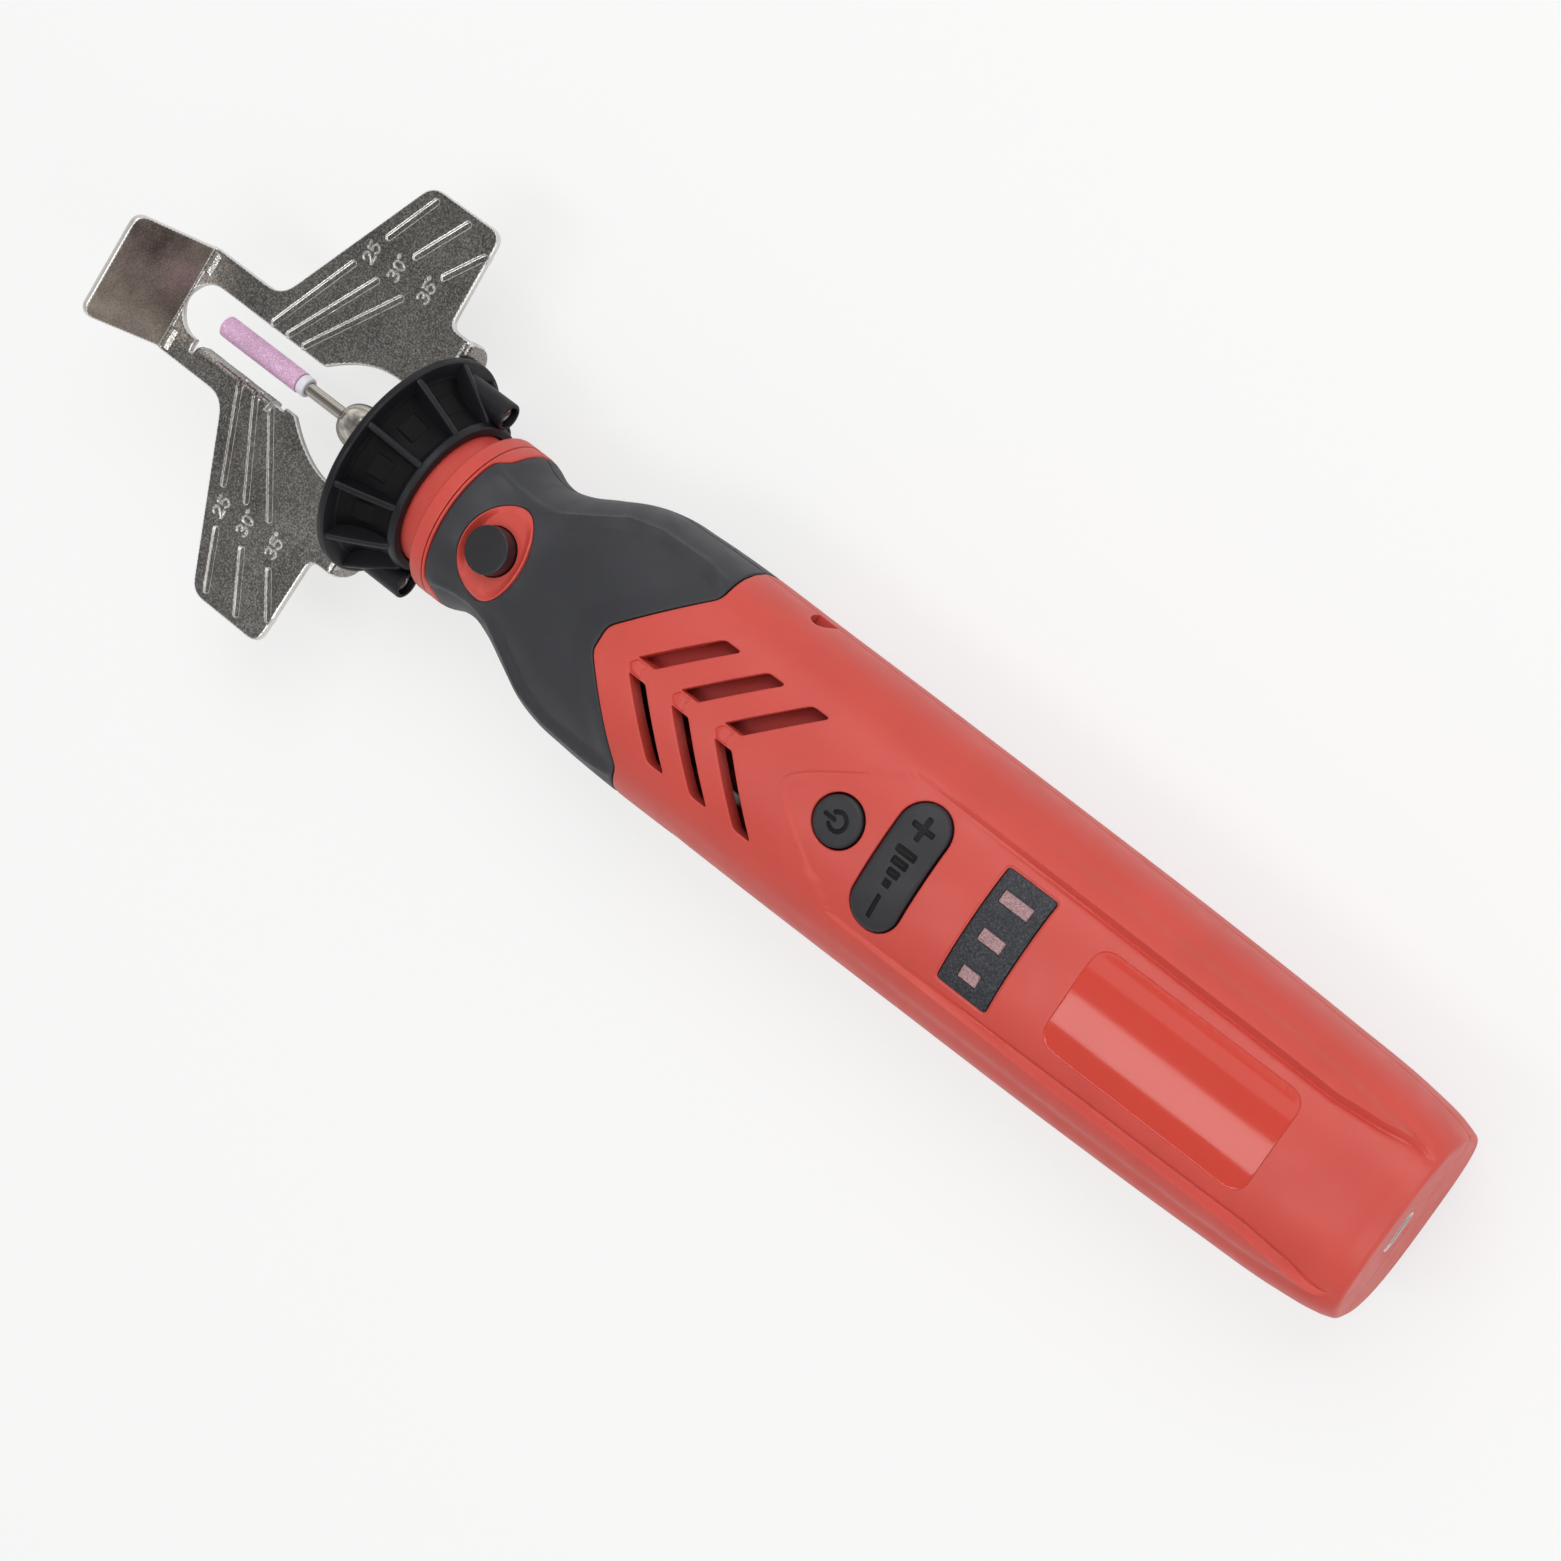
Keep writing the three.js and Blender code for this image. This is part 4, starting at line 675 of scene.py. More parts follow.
def seat_lines(sheet, side):
    """The step down into the grip's seat, at the rear chevron and at the stepped front."""
    for corners, inward in ((grip_rear, -1), (grip_front, 1)):
        for shift, depth in ((-0.45, 0.0), (-0.22, 0.05), (-0.06, 0.2), (0.0, 0.45), (0.12, grip_depth)):
            sheet.line(across(corners, inward * shift, side), depth, closed=False)


def seam_lines(sheet, side, gaps=()):
    """A small round along the seam."""
    for shift, depth in ((0.5, 0.0), (0.2, 0.03)):
        edge = seam_edge - shift
        for sign in (-1, 1):
            starts = [body_front + 0.6] + [x for gap in gaps for x in gap] + [tail - end_round]
            for start, end in zip(starts[::2], starts[1::2]):
                line = stepped(np.array([(start, sign * edge), (end, sign * edge)]), 1.6, closed=False)
                sheet.line(line, depth, closed=False)


def seam_seat(points, side):
    """Which points of the seam lie behind the grip."""
    return inside(points * (1, 0.996), grip_zone(0.1, side)) & (np.abs(points[:, 1]) > seam_edge - 0.7)


def end_lines(sheet):
    """Lines across the sheet where it rolls over into the tail's end face."""
    for k in range(5):
        start = tail - end_round + end_round * math.pi / 2 * k / 4
        ends = np.array([(start, -seam_edge), (start, seam_edge)])
        sheet.line(stepped(ends, 1.0, closed=False), 0.0, closed=False)


def box_corners(x0, x1, y0, y1):
    """The corners of a rectangle in plan."""
    return [(x0, y0), (x1, y0), (x1, y1), (x0, y1)]


upper_zone = grip_zone(0.06)
upper = Sheet(shell_outline(notched=True), 0.12)
seat_lines(upper, 1)
seam_lines(upper, 1, gaps=((notch_x - notch_half - 0.8, notch_x + notch_half + 0.8),))
for index in range(vent_count):
    for sign in (-1, 1):
        limb = [(x + index * vent_pitch, sign * y) for x, y in vent_limb]
        upper.hole(rounded(limb, (0.4, 1.0, 1.0, 0.4), step=1.0, arc=5), 0.28, on_sheet)
    for grow, depth in ((0.18, 0.0), (0.0, 0.32)):
        ring = rounded([(x + index * vent_pitch, y) for x, y in vent_bridge], 0.3, step=0.6, arc=4)
        upper.line(on_sheet(grown(ring, grow)), depth)
upper.hole(oval(power_x, 0, power_radius + key_gap, power_radius + key_gap), 0.3, on_sheet)
upper.hole(capsule(rocker_x, rocker_half + key_gap, rocker_reach), 0.3, on_sheet)
window = rounded(box_corners(window_front, window_rear, -window_half, window_half), 0.8, arc=4)
upper.line(on_sheet(grown(window, 0.5)), 0.0)
upper.line(on_sheet(grown(window, 0.3)), 0.2)
upper.hole(window, 0.12, on_sheet, foot=0.25)
gloss = rounded(box_corners(gloss_front, gloss_rear, -gloss_half, gloss_half), gloss_corner, step=1.0, arc=8)
gloss = gloss + (0, gloss_middle)
for shrink, depth in ((0.0, 0.0), (0.12, gloss_depth * 0.8), (0.3, gloss_depth)):
    upper.line(on_sheet(grown(gloss, -shrink)), depth)
gloss_zone = on_sheet(grown(gloss, -0.1))
rail_stop, rail_step = 249.0, 1.5
rail_lines = ((rail_inner, 124.0, (-0.042, -0.028, -0.014, -0.002, 0.01, 0.024, 0.055)),
              (rail_outer, 88.0, (-0.07, 0.0, 0.03)))
for sign in (-1, 1):
    for rail, start, shifts in rail_lines:
        along = np.arange(start, rail_stop, rail_step)
        for shift in shifts:
            lateral = sign * (np.interp(along, *rail) + shift) * section_at(along)[0]
            upper.line(on_sheet(np.stack([along, lateral], axis=1)), 0.0, closed=False)
for shift in (-0.4, 0.0, 0.45, 0.9, 1.4):
    across_y = np.linspace(-10.5, 10.5, 31)
    arrow = field_apex + shift + field_slope * (np.sqrt(across_y**2 + field_soft**2) - field_soft)
    upper.line(on_sheet(np.stack([arrow, across_y], axis=1)), 0.0, closed=False)
upper.line(on_sheet(oval(lock_pad_x, 0, lock_pad[0] + 0.12, lock_pad[1] + 0.12, bowl_points)), grip_depth)
for shrink, depth in ((0.0, 0.3), (0.1, 0.14), (0.35, 0.06)):
    upper.line(on_sheet(oval(lock_pad_x, 0, lock_pad[0] - shrink, lock_pad[1] - shrink, bowl_points)), depth)
bowl_rim = 0.6
for share in (0.25, 0.5, 0.75, 0.92, 1.0):
    ring_x = lock_pad_x + (lock_x + 0.1 - lock_pad_x) * share
    halves = [rim - bowl_rim + (floor_half - rim + bowl_rim) * share
              for rim, floor_half in zip(lock_pad, lock_floor_half)]
    fall = math.sin(share * math.pi / 2) ** 0.8
    ring = oval(ring_x, 0, *halves, bowl_points)
    rim_level = body_point(*on_sheet(ring).T, np.full(bowl_points, 0.2), 1)[:, 2]
    upper.line(on_sheet(ring), level=rim_level + (lock_floor - rim_level) * fall)
hole = oval(lock_x, 0, lock_hole, lock_hole, 48)
upper.line(on_sheet(hole), level=lock_floor)
upper.holes.append(on_sheet(hole))
turn = np.linspace(-math.pi / 2, math.pi / 2, 12)
flat_half = port_half - port_rise
port = np.concatenate([
    np.stack([flat_half + port_rise * np.cos(turn), port_level + port_rise * np.sin(turn)], axis=1),
    np.stack([-flat_half - port_rise * np.cos(turn), port_level - port_rise * np.sin(turn)], axis=1)])
upper.hole(stepped(port, 0.8), 0.25, end_face)
end_lines(upper)


def upper_depth(points):
    """Depth of the field, the rails and the valleys beside them at places of the sheet."""
    plain = body_point(points[:, 0], points[:, 1], np.zeros(len(points)), 1)
    return crown_relief(plain[:, 0], plain[:, 1]) * (points[:, 0] < tail)


def upper_fill(grid):
    """Depths of the even points that lie inside lowered areas."""
    depth = grip_depth * inside(grid, upper_zone)
    pad = on_sheet(oval(lock_pad_x, 0, *lock_pad, bowl_points))
    depth[inside(grid, pad)] = 0.12
    depth[inside(grid, gloss_zone)] = gloss_depth
    return depth


# The bowl of the lock gets no even points, because its own rings give its form.
lock_field = on_sheet(oval(lock_pad_x, 0, lock_pad[0] - 0.5, lock_pad[1] - 0.5, bowl_points))
upper.holes.append(lock_field)
upper.fill(1.5, 0.8, upper_fill)
upper.holes.pop()
housing_upper = shell("upper_shell", 1, upper, upper_depth, [red_plastic, red_gloss], gloss_zone)
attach(housing_upper, "shells")
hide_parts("housing_upper")

screw_spots = []
for number in range(1, 7):
    low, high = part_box(f"housing_screw_{number}")
    middle = ((low + high) / 2 - SPINDLE) / MM
    screw_spots.append((middle.x, middle.y))
screw_hole = 3.0
lower = Sheet(shell_outline(notched=False), 0.12)
seat_lines(lower, -1)
seam_lines(lower, -1)
for x, y in screw_spots:
    lower.hole(oval(x, y, screw_hole, screw_hole, 32), 0.3, lambda plan: on_sheet(plan, -1),
               foot=grip_depth if x < 81 else 0.0)
end_lines(lower)
lower.fill(1.8, 1.2, lambda grid: grip_depth * inside(grid, grip_zone(0.06, -1)))
housing_lower = shell("lower_shell", -1, lower, lambda points: np.zeros(len(points)), [red_plastic])
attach(housing_lower, "shells")
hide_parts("housing_lower")

# Baffle under the vents' limbs on the +Y side: a thin red web inside the upper shell, which hides the motor
# there. The real one is part of the shell's own moulding, as are the thicker edges of the other limbs.
baffle_depth, baffle_thick = 4.2, 0.8
baffle_plan = [(72.5, 1.3), (85.5, 15.4), (116.5, 15.4), (103.5, 1.3)]
baffle = Sheet(on_sheet(rounded(baffle_plan, 0.8, step=1.4)))
baffle.fill(1.5, 1.4)
triangles, points, _, _ = baffle.cut()
skins = [body_point(points[:, 0], points[:, 1], np.full(len(points), depth), 1)
         for depth in (baffle_depth, baffle_depth + baffle_thick)]
shaded_red = finish_material("shaded_red", (0.36, 0.030, 0.024), 0.5, bump=0.18, bump_size=0.16, specular=0.3)
vent_baffle = mesh_object("vent_baffle", *walled(triangles, *skins), [shaded_red])
settle_normals(vent_baffle)
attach(vent_baffle, "shells")
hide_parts("housing_upper")

# Soft grip: two skins of dark rubber moulded over the shells, one on each. A shallow thumb panel sinks
# between two soft crests, and the upper skin is open round the red eye of the spindle lock.
grip_rubber = finish_material("soft_grip_rubber", (0.026, 0.027, 0.033), 0.5, speck=0.2, speck_size=0.2,
                              bump=0.3, bump_size=0.11, spread=0.08, lighter_edges=0.3)
crest_line = ([23, 27, 31, 36, 42, 48, 55, 62, 74, 82],
              [14.6, 12.9, 12.2, 12.0, 13.0, 16.3, 20.6, 22.3, 22.8, 21.9])
panel_line = ([23, 27, 31, 36, 42, 47, 53, 58, 63, 76, 82],
              [13.2, 11.4, 10.6, 10.4, 10.9, 13.3, 17.5, 20.0, 20.9, 20.7, 19.9])
panel_rear = ([0, 2.8, 19.5, 22.6], [67, 67, 82, 81.3])
panel_depth, crest_height, crest_inner, crest_outer = 0.95, 0.46, 1.2, 0.45
grip_play = 0.08


def grip_relief(points, side):
    """Depth of the thumb panel and height of its crests, only on the upper skin."""
    if side < 0:
        return np.zeros(len(points))
    plain = body_point(points[:, 0], points[:, 1], np.zeros(len(points)), side)
    x, y = plain[:, 0], np.abs(plain[:, 1])
    crest, panel = np.interp(x, *crest_line), np.interp(x, *panel_line)
    rear = np.interp(y, *panel_rear)
    strength = smooth(38, 47, x) * (0.25 + 0.75 * smooth(0.5, 7.0, rear - x))
    sunk = 1 - np.clip((y - panel) / (crest - panel), 0, 1)
    ridge = np.exp(-(((y - crest) / np.where(y < crest, crest_inner, crest_outer)) ** 2))
    raised = ridge * smooth(24, 27, x) * smooth(0.3, 2.5, rear - x)
    return panel_depth * strength * sunk - crest_height * raised


def grip_skin(name, side, node):
    """One skin of the grip, with rolled edges, over the seat in its shell."""
    sheet = Sheet(stepped(grip_zone(0.3, side), 1.4), 0.42)
    for corners, inward in ((grip_rear, -1), (grip_front, 1)):
        for shift, depth in ((0.34, 0.24), (0.44, 0.1), (0.62, 0.02), (0.9, 0.0)):
            sheet.line(across(corners, inward * shift, side), depth, closed=False)
    for shift, depth in ((0.55, 0.0), (0.22, 0.06)):
        for sign in (-1, 1):
            edge = np.array([(27.0, sign * (seam_edge - shift)), (79.5, sign * (seam_edge - shift))])
            sheet.line(stepped(edge, 1.4, closed=False), depth, closed=False)
    if side > 0:
        sheet.hole(oval(lock_pad_x, 0, lock_pad[0] + 0.02, lock_pad[1] + 0.02, 72), 0.24, on_sheet)
        for lines, apart in ((crest_line, 0.0), (crest_line, 0.4), (panel_line, 0.0)):
            for sign in (-1, 1):
                along = np.arange(45.0, 79.0, 1.0)
                plan = np.stack([along, sign * (np.interp(along, *lines) + apart)], axis=1)
                sheet.line(on_sheet(plan), 0.0, closed=False)
    else:
        for x, y in screw_spots:
            if x < 81:
                sheet.hole(oval(x, y, screw_hole + 0.3, screw_hole + 0.3, 32), 0.4,
                           lambda plan: on_sheet(plan, -1))
    sheet.fill(1.1, 0.8)
    triangles, points, depth, _ = sheet.cut()
    along, lateral = points[:, 0], points[:, 1]
    outer = body_point(along, lateral, depth + grip_relief(points, side), side)
    inner = body_point(along, lateral, np.full(len(points), grip_depth - grip_play), side)
    skin = mesh_object(name, *walled(triangles, outer, inner), [grip_rubber])
    settle_normals(skin, 50)
    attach(skin, "shells")
    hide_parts(node)


grip_skin("upper_grip", 1, "grip_upper")
grip_skin("lower_grip", -1, "grip_lower")

# Nose ring: a turned red ring that plugs the mouth of both shells, carries the front bearing and is the
# spigot that the guide collar turns on. Same plastic as the shells, with softly rounded edges.


def outline_of(corners):
    """A closed outline from corners with a radius each."""
    corners = np.asarray(corners, float)
    return rounded(corners[:, :2], corners[:, 2], step=3.0, arc=6)


def lathe(name, corners, count, materials, sharp=40, upright=None, wave=None, centre=None):
    """A solid turned about the spindle's axis, or about an upright axis at a place on the tool."""
    profile = outline_of(corners)
    turn = np.arange(count) * 2 * math.pi / count
    along = np.repeat(profile[:, 0], count)
    angle = np.tile(turn, len(profile))
    radius = np.repeat(np.maximum(profile[:, 1], 0), count)
    if wave is not None:
        radius = np.maximum(radius + wave(along, angle, radius), 0)
    if upright is None:
        points = np.stack([along, radius * np.cos(angle), radius * np.sin(angle)], axis=1)
    else:
        points = np.stack([upright + radius * np.cos(angle), radius * np.sin(angle), along], axis=1)
    if centre is not None:
        points += np.asarray(centre, float)
    faces = []
    for i in range(len(profile)):
        j = (i + 1) % len(profile)
        if profile[i, 1] <= 0 and profile[j, 1] <= 0:
            continue
        for k in range(count):
            m = (k + 1) % count
            faces.append((i * count + k, i * count + m, j * count + m, j * count + k))
    turned = mesh_object(name, points, faces, materials)
    settle_normals(turned, sharp)
    return turned


nose_front, mouth_radius, mouth_rear, nose_bore = 3.0, 6.5, 6.0, 8.3
spigot_radius, flange_front, flange_rear, flange_radius = 15.2, 19.3, 22.75, 18.4
plug_radius, plug_rear, seat_front, seat_radius = 12.6, 28.2, 11.8, 10.4
nose_ring = lathe("nose_ring_turned", [
    (nose_front, mouth_radius, 0.4), (nose_front, spigot_radius, 0.7), (flange_front, spigot_radius, 0.35),
    (flange_front, flange_radius, 0.75), (flange_rear, flange_radius, 0.3), (flange_rear, plug_radius, 0),
    (plug_rear, plug_radius, 0.3), (plug_rear, seat_radius, 0.3), (seat_front, seat_radius, 0),
    (seat_front, nose_bore, 0), (mouth_rear, nose_bore, 0), (mouth_rear, mouth_radius, 0)],
    128, [red_plastic])
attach(nose_ring, "shells")
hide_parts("nose_ring")

# Guide collar: one black moulding with a thin rim, a waisted hub, eleven fins between them and a boss on
# each side for the plate's screws. It turns by hand on the nose ring.
black_plastic = finish_material("black_moulding", (0.009, 0.009, 0.012), 0.4, speck=0.2, speck_size=0.2,
                                bump=0.25, bump_size=0.14, spread=0.1, lighter_edges=0.6, specular=0.3)
collar_bore, rim_radius, rim_thick, hub_lip_front, hub_lip, hub_rear = 15.5, 25.4, 1.7, 12.5, 17.8, 14.2
hub_waist = [(rim_thick, 21.2, 1.2), (4.0, 19.2, 2), (7.6, 17.6, 2), (11.8, 17.0, 0.6)]
collar_hub = lathe("collar_hub", [
    (0.0, collar_bore, 0.3), (0.0, rim_radius, 0.6), (rim_thick, rim_radius, 0.5), *hub_waist,
    (hub_lip_front, hub_lip, 0.4), (hub_rear, hub_lip - 0.3, 0.6), (hub_rear, collar_bore, 0.3)],
    144, [black_plastic])
# The pockets between the fins get a darker colour than the rim and the fins, which is painted shade in the
# recesses, and a duller gloss.
pocket_front, pocket_rear, pocket_floor = 1.8, 11.6, 16.9
pocket_shade_plastic = finish_material("pocket_painted_shade", (0.0045, 0.0045, 0.0055), 0.5, bump=0.25, bump_size=0.14,
                                 spread=0.1, specular=0.12)
collar_hub.data.materials.append(pocket_shade_plastic)
for face in collar_hub.data.polygons:
    place = (face.center - SPINDLE) / MM
    if pocket_front < place.x < pocket_rear and math.hypot(place.y, place.z) > pocket_floor:
        face.material_index = 1
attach(collar_hub, "guide")
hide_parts("guide_collar")


def slab(name, corners, thick, materials, edge=0.3, centre=(0, 0, 0)):
    """A flat piece with rounded edges, from an outline along the tool and out from its axis."""
    outline = outline_of(corners)
    sheet = Sheet(outline, edge)
    for share in (0.25, 0.6, 1.0):
        sheet.line(grown(outline, -edge * share), edge * (1 - math.sqrt(1 - (1 - share) ** 2)))
    triangles, points, depth, _ = sheet.cut()
    sides = []
    for sign in (1, -1):
        across_y = sign * (thick / 2 - depth)
        sides.append(np.stack([points[:, 0], across_y, points[:, 1]], axis=1) + np.asarray(centre, float))
    piece = mesh_object(name, *walled(triangles, *sides), materials)
    settle_normals(piece, 50)
    return piece


def copies(name, source, places, first_turn, turn_step, material):
    """Geometry nodes set one copy of a piece on each place, each turned a step further than the last."""
    group = bpy.data.node_groups.get("placed_copies")
    if group is None:
        group = bpy.data.node_groups.new("placed_copies", "GeometryNodeTree")
        for given_name, kind in (("Places", "NodeSocketGeometry"), ("Piece", "NodeSocketObject"),
                                 ("First turn", "NodeSocketVector"), ("Turn step", "NodeSocketVector"),
                                 ("Material", "NodeSocketMaterial")):
            group.interface.new_socket(given_name, in_out="INPUT", socket_type=kind)
        group.interface.new_socket("Geometry", in_out="OUTPUT", socket_type="NodeSocketGeometry")
        links = group.links
        given, result = add_node(group, "NodeGroupInput"), add_node(group, "NodeGroupOutput")
        piece = add_node(group, "GeometryNodeObjectInfo")
        number = add_node(group, "GeometryNodeInputIndex")
        scaled = add_node(group, "ShaderNodeVectorMath", operation="SCALE")
        total = add_node(group, "ShaderNodeVectorMath")
        instances = add_node(group, "GeometryNodeInstanceOnPoints")
        real = add_node(group, "GeometryNodeRealizeInstances")
        painted = add_node(group, "GeometryNodeSetMaterial")
        links.new(given.outputs["Piece"], piece.inputs["Object"])
        links.new(given.outputs["Turn step"], scaled.inputs[0])
        links.new(number.outputs[0], scaled.inputs["Scale"])
        links.new(scaled.outputs[0], total.inputs[0])
        links.new(given.outputs["First turn"], total.inputs[1])
        links.new(given.outputs["Places"], instances.inputs["Points"])
        links.new(piece.outputs["Geometry"], instances.inputs["Instance"])
        links.new(total.outputs[0], instances.inputs["Rotation"])
        links.new(instances.outputs[0], real.inputs[0])
        links.new(real.outputs[0], painted.inputs["Geometry"])
        links.new(given.outputs["Material"], painted.inputs["Material"])
        links.new(painted.outputs[0], result.inputs[0])
    mesh = bpy.data.meshes.new(name)
    mesh.from_pydata([tuple(np.asarray(place) * MM + np.array(SPINDLE)) for place in places], [], [])
    holder = bpy.data.objects.new(name, mesh)
    bpy.context.scene.collection.objects.link(holder)
    modifier = holder.modifiers.new("copies", "NODES")
    modifier.node_group = group
    sockets = {item.name: item.identifier for item in group.interface.items_tree if item.in_out == "INPUT"}
    modifier[sockets["Piece"]] = source
    modifier[sockets["First turn"]] = first_turn
    modifier[sockets["Turn step"]] = turn_step
    modifier[sockets["Material"]] = material
    graph = bpy.context.evaluated_depsgraph_get()
    finished = bpy.data.meshes.new_from_object(holder.evaluated_get(graph), depsgraph=graph)
    holder.modifiers.clear()
    holder.data = finished
    bpy.data.objects.remove(source)
    return holder


# Sources for copies stand at the origin: the tool's own shift is added by the places.
home = -np.array(SPINDLE) / MM
fin_count, fin_thick, pad_thick, web_thick = 11, 1.4, 5.0, 2.6
fin_turn = 2 * math.pi / fin_count
fin_front, fin_foot, pad_front, pad_rear, pad_foot = 0.9, 16.6, 3.8, 8.2, 16.2
fin = slab("collar_fin", [(fin_front, fin_foot, 0), (fin_front, 24.9, 0.3), (2.1, 24.7, 0.6), (7.0, 21.9, 4),
                          (12.9, 18.2, 1.2), (13.3, fin_foot, 0)], fin_thick, [black_plastic], edge=0.45,
           centre=home)
# The pads in the pockets take the same darker colour: painted shade.
pad = slab("hub_pad", [(pad_front, pad_foot, 0), (pad_front, 19.5, 0.5), (pad_rear, 17.65, 0.5),
                       (pad_rear, pad_foot, 0)], pad_thick, [pocket_shade_plastic], edge=0.5, centre=home)
for ring_name, source, start, finish in (("collar_fins", fin, math.pi, black_plastic),
                                         ("collar_pads", pad, math.pi + fin_turn / 2, pocket_shade_plastic)):
    ring = copies(ring_name, source, [(0, 0, 0)] * fin_count, (start, 0, 0), (fin_turn, 0, 0), finish)
    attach(ring, "guide")
    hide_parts("guide_collar")
ear_across, boss_radius, boss_bore, boss_well, boss_rear, well_front = 20.3, 3.1, 1.5, 2.25, 14.8, 11.4
web_foot, web_top, web_rear = 15.8, 18.6, 13.8
for sign, side_name in ((-1, "left"), (1, "right")):
    tube = lathe(f"collar_boss_{side_name}", [
        (fin_front, boss_bore, 0), (fin_front, boss_radius, 0), (boss_rear, boss_radius, 0.5),
        (boss_rear, boss_well, 0.2), (well_front, boss_well, 0), (well_front, boss_bore, 0)],
        48, [black_plastic], centre=(0, sign * ear_across, 0))
    web = slab(f"collar_web_{side_name}", [(fin_front, web_foot, 0), (fin_front, web_top, 0),
                                           (web_rear, web_top, 0.4), (web_rear, web_foot, 0)],
               web_thick, [black_plastic], edge=0.4)
    web.data.transform(Matrix.Translation(SPINDLE) @ Matrix.Rotation(-sign * math.pi / 2, 4, "X")
                       @ Matrix.Translation(-SPINDLE))
    for piece in (tube, web):
        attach(piece, "guide")
        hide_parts("guide_collar")

# Guide plate: one chromed stamping. Its tab is turned up, its ears and its side lip are turned down from
# the same sheet, and both wings have pressed guide lines, each with its filing angle in a break of it.
chrome = finish_material("speckled_chrome", (0.36, 0.347, 0.33), 0.24, metallic=1.0, speck=0.8,
                         speck_size=0.36, bump=0.5, bump_size=0.3, spread=0.2, grain=0.5, grain_size=0.36,
                         height=0.032)
# A lighter copy of the chrome for the numbers, the walls of the guide lines, the rim and the sides: painted
# highlight on pressed and rounded edges.
highlight_metal = finish_material("painted_highlight_strokes", (0.74, 0.73, 0.71), 0.34, metallic=1.0, bump=0.2,
                               bump_size=0.5)
# The turned-up tab gets a darker, warmer copy of the chrome with a cloudy spread of colour: painted
# reflection and shade of the tilted tab, with a rougher gloss.
tab_reflection_chrome = finish_material("tab_painted_reflection", (0.31, 0.275, 0.24), 0.4, metallic=1.0, speck=0.3,
                             speck_size=0.34, bump=0.3, bump_size=0.3, spread=0.55, grain=0.25,
                             grain_size=0.36, height=0.03)
plate_thick, plate_mid = 1.6, 1.1
tab_bend, tab_angle, tab_radius, tab_length = -65.4, math.radians(70), 1.7, 21.4
tab_flat = tab_bend + tab_radius * math.tan(tab_angle / 2)
tab_end = tab_flat - tab_radius * tab_angle - (tab_length - tab_radius * math.tan(tab_angle / 2))
ear_plane, ear_radius, ear_drop = -1.1, 1.0, 9.6
ear_flat = ear_plane - ear_radius
ear_end = ear_flat + ear_radius * math.pi / 2 + ear_drop - ear_radius
lip_side, lip_radius, lip_drop, lip_front, lip_rear = -7.6, 1.0, 4.4, -57.0, -34.5
lip_flat = lip_side - lip_radius
lip_end = lip_flat + lip_radius * math.pi / 2 + lip_drop - lip_radius


def fold(u, v):
    """Where a place of the flat blank lies on the folded plate, and which way its upper face points."""
    u, v = np.asarray(u, float), np.asarray(v, float)
    middle = np.stack([u, v, np.full(len(u), plate_mid)], axis=1)
    normal = np.tile([0.0, 0.0, 1.0], (len(u), 1))
    lip = (v > lip_flat) & (v < 0) & (u >= lip_front - 1e-6) & (u <= lip_rear + 1e-6)
    for part, axis, start, way, rise, radius, angle in (
            (u < tab_flat, 0, tab_flat, -1, 1, tab_radius, tab_angle),
            (u > ear_flat, 0, ear_flat, 1, -1, ear_radius, math.pi / 2),
            (lip, 1, lip_flat, 1, -1, lip_radius, math.pi / 2)):
        run = way * (middle[part, axis] - start)
        turn = np.minimum(run / radius, angle)
        rest = np.maximum(run - radius * angle, 0)
        middle[part, axis] = start + way * (radius * np.sin(turn) + rest * math.cos(angle))
        middle[part, 2] += rise * (radius * (1 - np.cos(turn)) + rest * math.sin(angle))
        normal[part, axis] = np.sin(turn)
        normal[part, 2] = np.cos(turn)
    return middle, normal


def near_strokes(points, strokes):
    """Distance of points from a set of drawn lines."""
    nearest = np.full(len(points), 1e9)
    for stroke in strokes:
        for a, b in zip(stroke[:-1], stroke[1:]):
            run = b - a
            share = np.clip((points - a) @ run / max(run @ run, 1e-9), 0, 1)
            nearest = np.minimum(nearest, np.linalg.norm(points - a - share[:, None] * run, axis=1))
    return nearest


def bow(x, y, half_x, half_y, start, end, count=14):
    """Part of an ellipse between two angles in degrees."""
    turn = np.radians(np.linspace(start, end, count))
    return np.stack([x + half_x * np.cos(turn), y + half_y * np.sin(turn)], axis=1)


digit_strokes = {
    "0": [bow(0.5, 0.8, 0.44, 0.8, 0, 360, 28)],
    "2": [np.concatenate([bow(0.5, 1.14, 0.45, 0.46, 165, -30), [(0.03, 0.0), (0.98, 0.0)]])],
    "3": [bow(0.45, 1.18, 0.42, 0.42, 150, -85), bow(0.45, 0.4, 0.5, 0.42, 85, -150)],
    "5": [np.concatenate([[(0.92, 1.6), (0.16, 1.6), (0.1, 0.9)], bow(0.47, 0.52, 0.5, 0.52, 125, -150)])],
}


def number_strokes(digits, degree, x, y):
    """Strokes of a number that reads across the tool, its tops towards the stone."""
    size, strokes = 1.7, []
    for place, digit in enumerate(digits):
        strokes += [stroke + (place * 1.38, 0) for stroke in digit_strokes[digit]]
    if degree:
        strokes.append(bow(2.78, 1.5, 0.17, 0.17, 0, 360, 10))
    return [np.stack([x - (s[:, 1] - 0.8) * size, y + (s[:, 0] - 1.19) * size], axis=1) for s in strokes]


